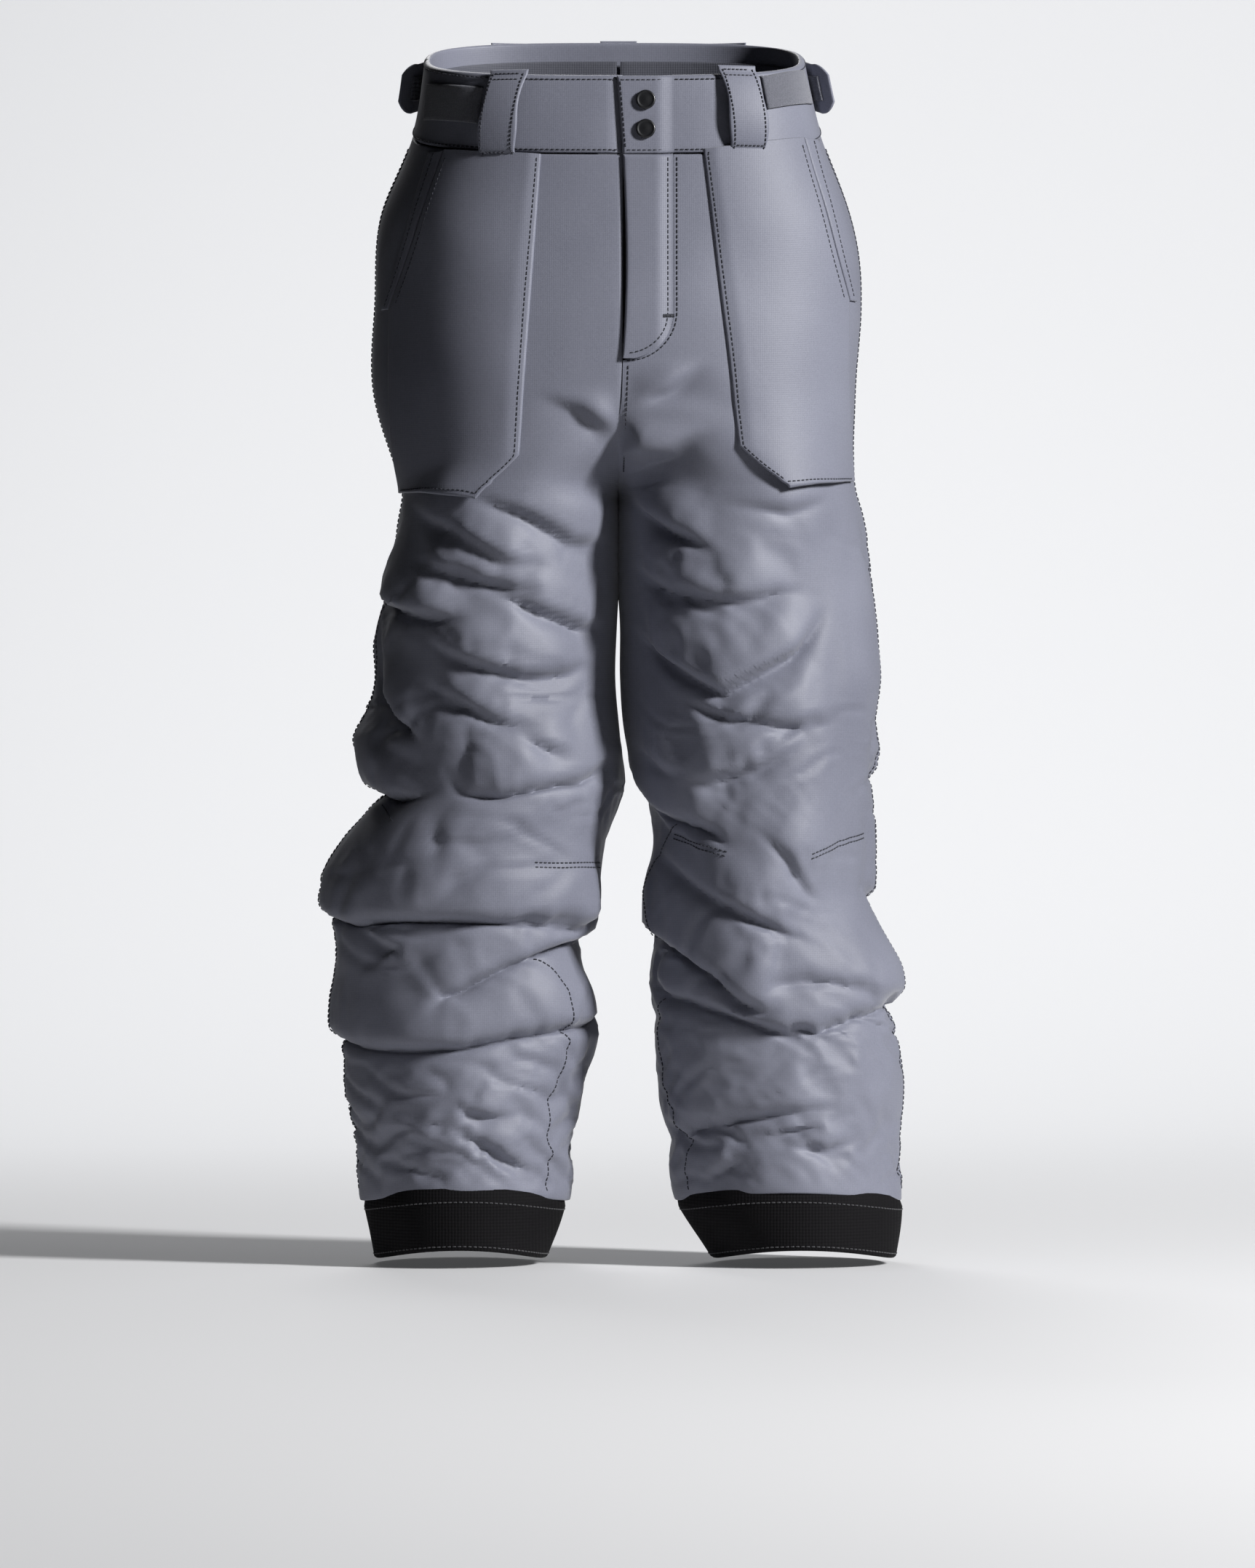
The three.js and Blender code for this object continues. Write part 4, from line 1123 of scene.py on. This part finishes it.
def fly_stitching():
    def on_shell(x, z):
        return with_normal(LEFT, angle_at(LEFT, z, x), z, 0.0001)

    seam_z = np.linspace(FLY_BOTTOM - 0.004, CROTCH + 0.01, 80)
    seam = np.stack([seam_x(seam_z) + 0.0035, seam_z], axis=-1)
    outer = [row_along(j_row(-0.002), on_shell), row_along(seam, on_shell)]
    outer += bar_tack(0.0325, -0.163, flap_outside) + bar_tack(0.0075, -0.186, on_shell, upright=True)
    z = np.linspace(-0.003, -BAND + 0.003, 50)
    free_edge = np.stack([overlap_edge(-z / BAND) + 0.002, z], axis=-1)
    top, low = level_row(0.001, FLY_SEWN, -EDGE_ROW), level_row(0.005, FLY_SEWN, -BAND + EDGE_ROW)
    stitching("fly_stitching_inner", [row_along(j_row(0.004), flap_outside)], "fly_flap")
    stitching("fly_stitching_outer", outer)
    overlap = [row_along(line, flap_outside) for line in (free_edge, top, low)]
    stitching("overlap_stitching", overlap, "fly_flap")


# Node, x of its edges, its top and bottom, the lift of its inner face and its thickness.
UNDERLAPS = (
    ("waistband_underlap", (0.003, 0.033), (-0.002, -BAND), -0.0066, 0.0020),
    ("fly_underlap", (-0.009, 0.033), (-0.054, -0.198), -0.0136, 0.0014),
)


def underlaps():
    for node, (x0, x1), (top, bottom), lift, thick in UNDERLAPS:

        def surface(u, v):
            z = top + (bottom - top) * v
            return with_normal(LEFT, angle_at(LEFT, z, x0 + (x1 - x0) * u), z, lift)

        size = (round(x1 - x0, 4), top - bottom)
        cloth_piece(
            f"{node}_cloth", node, surface, size, thick, SHELL_CLOTH, size, "hung", ["waistband_left"],
            rim=0.0012,
        )


# A black cap's radius and height: a rolled rim round a shallow dished face, over a narrower skirt.
CAP_PROFILE = (
    (0.0, -0.0016), (0.0052, -0.0016), (0.0056, -0.0006), (0.0060, -0.0002), (0.00635, 0.0003),
    (0.0063, 0.0009), (0.0059, 0.0014), (0.0053, 0.0015), (0.0048, 0.0012), (0.0040, 0.0011),
    (0.0024, 0.0013), (0.0, 0.0014),
)
CAP_TURNS = 40


def flap_facing(centre):
    """The flap's outward direction at a place seen from the front, by a step each way in x and z."""
    step = 0.003
    x = centre[0] + np.array([-step, step, 0, 0])
    z = float(level_of(LEFT, FRONT, centre[0], centre[2])) + np.array([0, 0, -step, step])
    around, _ = flap_outside(x, z)
    return Vector(np.cross(around[1] - around[0], around[3] - around[2]))


def snap_caps():
    angles = np.linspace(0, 2 * math.pi, CAP_TURNS, endpoint=False)
    for level in ("upper", "lower"):
        node = f"snap_cap_{level}"
        low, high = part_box(node)
        centre = (low + high) / 2
        frame = flap_facing(centre).to_track_quat("Z", "Y").to_matrix()
        vertices = [
            Vector(centre) + frame @ Vector((r * math.cos(a), r * math.sin(a), h))
            for r, h in CAP_PROFILE for a in angles
        ]
        index = np.arange(len(vertices)).reshape(len(CAP_PROFILE), CAP_TURNS)
        cap = new_object(f"{node}_face", vertices, quads(closed(index)), SNAP_METAL)
        face_outward(cap)
        show(cap, "fly_flap", "snap", node)


# ---------- belt loops ----------

LOOP_WIDTH, LOOP_THICK = 0.023, 0.0017
LOOP_RISE, LOOP_STAND = 0.0062, 0.001
# Name, side, face, top centre and bottom centre as seen from that face.
LOOPS = (
    ("front_right", RIGHT, FRONT, (-0.0695, -0.014), (-0.0775, -0.074)),
    ("front_left", LEFT, FRONT, (0.0755, -0.011), (0.0830, -0.069)),
    ("back_right", RIGHT, BACK, (-0.072, 0.018), (-0.072, -0.040)),
    ("back_left", LEFT, BACK, (0.072, 0.018), (0.072, -0.040)),
    ("back_centre", LEFT, BACK, (0.0, 0.020), (0.0, -0.038)),
)


def loop_stitching(name, top, bottom, outside):
    """A row along each edge of a belt loop and two across each end."""
    lines = []
    for edge in (-1, 1):
        inset = edge * (LOOP_WIDTH / 2 - 0.0021)
        ends = (top[0] + inset, top[1] - 0.002), (bottom[0] + inset, bottom[1] + 0.002)
        lines.append(row_along(ends, outside))
    for end, toward in ((top, -1), (bottom, 1)):
        for depth in (0.0025, 0.0060):
            z = end[1] + toward * depth
            lines.append(row_along(((end[0] - 0.009, z), (end[0] + 0.009, z)), outside))
    stitching(f"{name}_stitching", lines, pitch=0.0028, length=0.0021)


def belt_loops():
    for name, side, face, top, bottom in LOOPS:
        length = top[1] - bottom[1]

        def place(x, z, lift=0.0):
            v = np.clip((top[1] - z) / length, 0, 1)
            arch = LOOP_RISE * np.sin(math.pi * np.clip(1.15 * v - 0.075, 0, 1)) ** 0.6
            stand = LOOP_STAND + arch + lift
            if name == "back_centre":  # astride the centre seam
                right, left = (place_at(half, face, x, z, stand) for half in (RIGHT, LEFT))
                return choose(x < 0, right, left)
            return place_at(side, face, x, z, stand)

        def surface(u, v):
            x, z = between(top, bottom, v)
            wave = 0.0007 * np.sin(9 * v + 2) * np.sign(u - 0.5)
            return place(x + (u - 0.5) * LOOP_WIDTH + wave, z)

        def outside(x, z):
            return place(x, z, LOOP_THICK)

        node = f"belt_loop_{name}"
        cloth_piece(
            f"{node}_cloth", node, surface, (LOOP_WIDTH, length), LOOP_THICK, BAND_CLOTH,
            (LOOP_WIDTH, length + 0.006), "stretched", ["waistband_back"], step=0.0018, rim=0.0012,
        )
        loop_stitching(node, top, bottom, outside)


# ---------- pockets ----------

# Seen from the front: the slanted mouth, the inner edge, and the base with its inner corner cut off.
Pocket = collections.namedtuple("Pocket", "mouth inner base")
POCKETS = {
    RIGHT: Pocket(
        mouth=((-0.112, -0.066), (-0.148, -0.168)), inner=((-0.050, -0.070), (-0.064, -0.265)),
        base=((-0.092, -0.294), (-0.1445, -0.287)),
    ),
    LEFT: Pocket(
        mouth=((0.119, -0.056), (0.149, -0.162)), inner=((0.055, -0.066), (0.078, -0.259)),
        base=((0.108, -0.287), (0.152, -0.280)),
    ),
}
PATCH_THICK, WELT_THICK = 0.0026, 0.0016
BAG_TOP, BAG_LOW = -0.080, -0.235


def pocket_edges(side, v):
    """The outer and inner edge points of a patch pocket at each fraction v of the way down."""
    (mouth_top, mouth_low), (in_top, in_low), (base_in, base_out) = POCKETS[side]
    outer = np.array([mouth_top, mouth_low, between(mouth_low, base_out, 0.9), base_out])
    inner = np.array([in_top, between(in_top, in_low, 0.45), in_low, base_in])
    at = np.array([0, 0.42, 0.86, 1])
    return [(np.interp(v, at, line[:, 0]), np.interp(v, at, line[:, 1])) for line in (outer, inner)]


def pocket_lift(u, v):
    """The patch stands off the leg a little, most along its loose lower edge."""
    loose = 0.0034 * smoothstep(v, 0.80, 1.0) * smoothstep(u, 0.0, 0.45)
    sewn = 0.0016 * smoothstep(u, 0.88, 1.0) * (1 - smoothstep(v, 0.80, 0.95))
    return 0.0008 + loose - sewn + 0.0012 * np.sin(math.pi * np.clip(u, 0, 1)) * np.sin(math.pi * v)


def pockets():
    for side, name in SIDES:

        def surface(u, v, extra=0.0):
            outer, inner = pocket_edges(side, v)
            return place_at(side, FRONT, *between(outer, inner, u), pocket_lift(u, v) + extra)

        cloth_piece(
            f"{name}_patch_cloth", f"{name}_patch_pocket", surface, (0.090, 0.225), PATCH_THICK,
            SHELL_CLOTH, (0.105, 0.235), "hung", [f"{name}_front_panel"], area=0.0225, step=0.003,
            rim=0.0016, soft="left right bottom",
        )
        v = np.linspace(0.01, 0.985, 300)
        across = np.linspace(0.96, 0.06, 80)
        beside_mouth = np.linspace(0.02, 0.42, 150)
        stitching(f"{name}_patch_stitching", [
            surface(np.full(v.shape, 0.962), v, PATCH_THICK),
            surface(across, np.full(across.shape, 0.982), PATCH_THICK),
            surface(np.full(beside_mouth.shape, 0.05), beside_mouth, PATCH_THICK),
        ])
        pocket_mouth(side, name)
        pocket_bag(side, name)


def pocket_mouth(side, name):
    """The bound edge of the hand pocket, just outside the patch."""
    mouth_top, mouth_low = POCKETS[side].mouth

    def surface(u, v, extra=0.0):
        x, z = between(mouth_top, mouth_low, v)
        far = 0.0095 - 0.005 * v
        return place_at(side, FRONT, x + side * (0.0014 + (1 - u) * far), z, 0.0004 + extra)

    cloth_piece(
        f"{name}_welt_cloth", f"{name}_pocket_welt", surface, (0.007, 0.11), WELT_THICK, SHELL_CLOTH,
        (0.011, 0.12), "stretched", [f"{name}_front_panel"], step=0.0018, rim=0.0012,
    )
    v = np.linspace(0.01, 0.99, 150)
    stitching(f"{name}_welt_stitching", [surface(np.full(v.shape, 0.45), v, WELT_THICK)])


def pocket_bag(side, name):
    """The lining bag of the hand pocket, inside the shell."""
    (mouth_top, _), (in_top, in_low), (_, base_out) = POCKETS[side]

    def surface(u, v):
        outer = between((mouth_top[0], BAG_TOP), (base_out[0] - side * 0.010, BAG_LOW), v)
        inner = between((in_top[0] + side * 0.008, BAG_TOP), (in_low[0] + side * 0.008, BAG_LOW), v)
        return place_at(side, FRONT, *between(outer, inner, u), -SHELL - 0.0095)

    cloth_piece(
        f"{name}_bag_cloth", f"{name}_pocket_bag", surface, (0.065, 0.155), 0.0014, LINING_CLOTH,
        (0.070, 0.16), "hung", [f"{name}_lining"], slot="lining", step=0.005, rim=0.0012,
    )


# ---------- leg seams ----------

# Rows of topstitching seen from the front: the inseam where it wanders onto the front, and the
# rows that shape the knee.
SEAM_ROWS = {
    RIGHT: (
        ((-0.055, -0.585), (-0.046, -0.594), (-0.038, -0.608), (-0.034, -0.623), (-0.030, -0.629)),
        ((-0.036, -0.631), (-0.032, -0.642), (-0.037, -0.661), (-0.044, -0.681), (-0.046, -0.709),
         (-0.042, -0.719), (-0.046, -0.748)),
        ((-0.056, -0.526), (-0.013, -0.527)),
        ((-0.056, -0.529), (-0.013, -0.530)),
        ((-0.156, -0.487), (-0.144, -0.500)),
    ),
    LEFT: (
        ((0.036, -0.499), (0.029, -0.522), (0.025, -0.543), (0.028, -0.563), (0.032, -0.575)),
        ((0.026, -0.613), (0.023, -0.627), (0.026, -0.651), (0.030, -0.675), (0.037, -0.690),
         (0.039, -0.702), (0.044, -0.711), (0.042, -0.735), (0.046, -0.748)),
        ((0.162, -0.508), (0.148, -0.513), (0.124, -0.521)),
        ((0.162, -0.511), (0.148, -0.516), (0.124, -0.524)),
        ((0.036, -0.509), (0.072, -0.519)),
        ((0.036, -0.512), (0.072, -0.522)),
    ),
}


def leg_seams():
    """The topstitching of each leg, with a row beside the outseam in front and behind."""
    for side, name in SIDES:

        def on_shell(x, z):
            return place_at(side, FRONT, x, z, 0.0002)

        lines = [row_along(row, on_shell) for row in SEAM_ROWS[side]]
        z = np.linspace(-0.06, CUFF_TOP + 0.006, 900)
        lines += [CLOTH[side].at(np.full(z.shape, u), z, np.full(z.shape, 0.0002)) for u in (0.49, 0.51)]
        stitching(f"{name}_leg_stitching", lines)


# ---------- hems ----------

HEM_ARCH = 0.008  # the guard's lower edge rises over the boot
GUARD_LIFT, GUARD_THICK = -0.0026, 0.0034
GAITER_TOP, GAITER_LENGTH = -0.704, 0.064
ELASTIC_WIDTH = 0.0136


def hem_place(side, u, v, lift):
    phi = 2 * math.pi * (0.5 - u)
    top = CUFF_TOP + 0.004 + cuff_rise(phi)
    low = HEM + HEM_ARCH * np.maximum(np.sin(phi), 0) ** 2
    lift = lift - 0.0022 * smoothstep(-v, -0.16, -0.08)
    z = top + (low - top) * v
    ripple = 0.0009 * np.sin(3 * phi + side) * np.sin(math.pi * np.clip(v, 0, 1))
    return with_normal(side, phi, z, lift + ripple)


def hems():
    for side, name in SIDES:

        def guard_place(u, v):
            return hem_place(side, u, v, GUARD_LIFT)

        cloth_piece(
            f"{name}_guard_cloth", f"{name}_hem_guard", guard_place, (0.40, 0.042), GUARD_THICK,
            HEM_CLOTH, (0.41, 0.038), "hung", [f"{name}_front_panel", f"{name}_back_panel"],
            slot="hem_guard", step=0.0032, rim=0.0018, soft=RING,
        )
        u = np.linspace(0, 1, 700)
        rows = [hem_place(side, u, np.full(u.shape, v), GUARD_LIFT + GUARD_THICK) for v in (0.24, 0.93)]
        stitching(f"{name}_guard_stitching", rows, slot="hem_guard", material=BLACK_THREAD)
        gaiter(side, name)


def gaiter(side, name):
    """The boot gaiter inside the hem, pleated towards the elastic that ends it."""
    def gaiter_place(u, v):
        pleat = 0.0010 * np.sin(44 * math.pi * u) * smoothstep(v, 0.3, 1.0)
        z = GAITER_TOP - GAITER_LENGTH * v
        return with_normal(side, math.pi * (1 - 2 * u), z, -0.0115 - 0.006 * v + pleat)

    cloth_piece(
        f"{name}_gaiter_cloth", f"{name}_boot_gaiter", gaiter_place, (0.36, GAITER_LENGTH), 0.0012,
        LINING_CLOTH, (0.37, 0.066), "gathered", [f"{name}_lining"], slot="lining", rim=0.001,
        soft=RING,
    )

    def elastic_place(u, v):
        gather = 0.0005 * np.sin(120 * math.pi * u)
        z = GAITER_TOP - GAITER_LENGTH - 0.0004 - ELASTIC_WIDTH * v
        return with_normal(side, math.pi * (1 - 2 * u), z, -0.0176 + gather)

    cloth_piece(
        f"{name}_elastic_band", f"{name}_gaiter_elastic", elastic_place, (0.34, ELASTIC_WIDTH), 0.0024,
        ELASTIC, (0.34, 0.014), "stretched", [f"{name}_boot_gaiter"], slot="elastic", step=0.0018,
        rim=0.0012, soft=RING,
    )


# ---------- floor, light, camera ----------

def look_at(obj, target):
    direction = Vector(target) - obj.location
    obj.rotation_euler = direction.to_track_quat("-Z", "Y").to_euler()


def area_light(name, location, target, size, power):
    light = bpy.data.lights.new(name, "AREA")
    light.shape = "RECTANGLE"
    light.size, light.size_y = size
    light.energy = power
    obj = bpy.data.objects.new(name, light)
    obj.location = location
    bpy.context.scene.collection.objects.link(obj)
    look_at(obj, target)


PAPER_FRONT, PAPER_BEND, BEND_RADIUS = -2.5, 1.8, 1.2  # y where the paper starts and turns up
PAPER_HEIGHT = 3.2
PAPER_HALF_WIDTH, PAPER_SPREAD = 0.45, 0.075
FLOOR_GLOW, WALL_GLOW = 0.06, 0.31


def paper_material():
    """White paper that glows a little, more towards the wall."""
    material, tree, shader = new_material("studio paper")
    place = add_node(tree, "TexCoord").outputs["Object"]
    depth = add_node(tree, "SeparateXYZ", {0: place}).outputs["Y"]
    glow = add_node(tree, "MapRange", {
        "Value": depth, "From Min": 0.0, "From Max": PAPER_BEND + 0.7 * BEND_RADIUS,
        "To Min": FLOOR_GLOW, "To Max": WALL_GLOW,
    }, interpolation_type="SMOOTHSTEP")
    set_inputs(tree, shader, {
        "Base Color": (0.66, 0.66, 0.67, 1), "Roughness": 0.9,
        "Emission Color": (0.95, 0.97, 1.0, 1), "Emission Strength": glow.outputs["Result"],
    })
    return material


def sweep():
    """A paper sweep, narrow towards the camera so that little light comes back onto the front."""
    ground = CAD_BOX[0][2] - 0.004
    profile = [(PAPER_FRONT, ground)]
    for turn in np.linspace(0, math.pi / 2, 17):
        rise = BEND_RADIUS * (1 - math.cos(turn))
        profile.append((PAPER_BEND + BEND_RADIUS * math.sin(turn), ground + rise))
    profile.append((PAPER_BEND + BEND_RADIUS, ground + PAPER_HEIGHT))
    vertices = [
        (side * (PAPER_HALF_WIDTH + PAPER_SPREAD * (y - PAPER_FRONT)), y, z)
        for y, z in profile for side in (RIGHT, LEFT)
    ]
    faces = [(2 * k, 2 * k + 1, 2 * k + 3, 2 * k + 2) for k in range(len(profile) - 1)]
    new_object("studio_sweep", vertices, faces, paper_material())


def studio():
    sweep()
    scene = bpy.context.scene
    scene.view_settings.view_transform = "Standard"
    scene.world = bpy.data.worlds.new("studio air")
    scene.world.use_nodes = True
    air = scene.world.node_tree.nodes["Background"]
    air.inputs["Color"].default_value = (0.90, 0.92, 1.0, 1)
    air.inputs["Strength"].default_value = 0.01
    middle = (Vector(CAD_BOX[0]) + Vector(CAD_BOX[1])) / 2
    area_light("back", (-0.5, 2.3, 1.5), middle, (1.0, 0.6), 22)
    area_light("key", (3.0, -1.9, 1.35), middle, (0.55, 0.9), 255)


CAMERA_DISTANCE = 5.6
CAMERA_X, CAMERA_RISE = 0.006, 0.312  # to the side, and above the hem
LENS, SENSOR = 195, 36  # millimetres


def camera():
    height = CAD_BOX[0][2] + CAMERA_RISE
    data = bpy.data.cameras.new("camera")
    data.sensor_width = SENSOR
    data.lens = LENS
    obj = bpy.data.objects.new("camera", data)
    obj.location = (CAMERA_X, -CAMERA_DISTANCE, height)
    look_at(obj, (CAMERA_X, 0, height))
    bpy.context.scene.collection.objects.link(obj)
    bpy.context.scene.camera = obj


def finish_hardware():
    """The zip and the snaps' hidden halves keep their CAD shapes and take their own finishes."""
    finishes = {"zip_": ZIP_PLASTIC, "snap_socket": STUD_METAL, "snap_stud": STUD_METAL}
    for node, obj in frame["nodes"].items():
        for start, material in finishes.items():
            if node.startswith(start):
                obj.data.materials.clear()
                obj.data.materials.append(material)


camera()
shell_panels()
linings()
waistbands()
landing_patches()
waist_tabs()
fly()
snap_caps()
belt_loops()
pockets()
leg_seams()
hems()
finish_hardware()
studio()

bpy.context.view_layer.update()
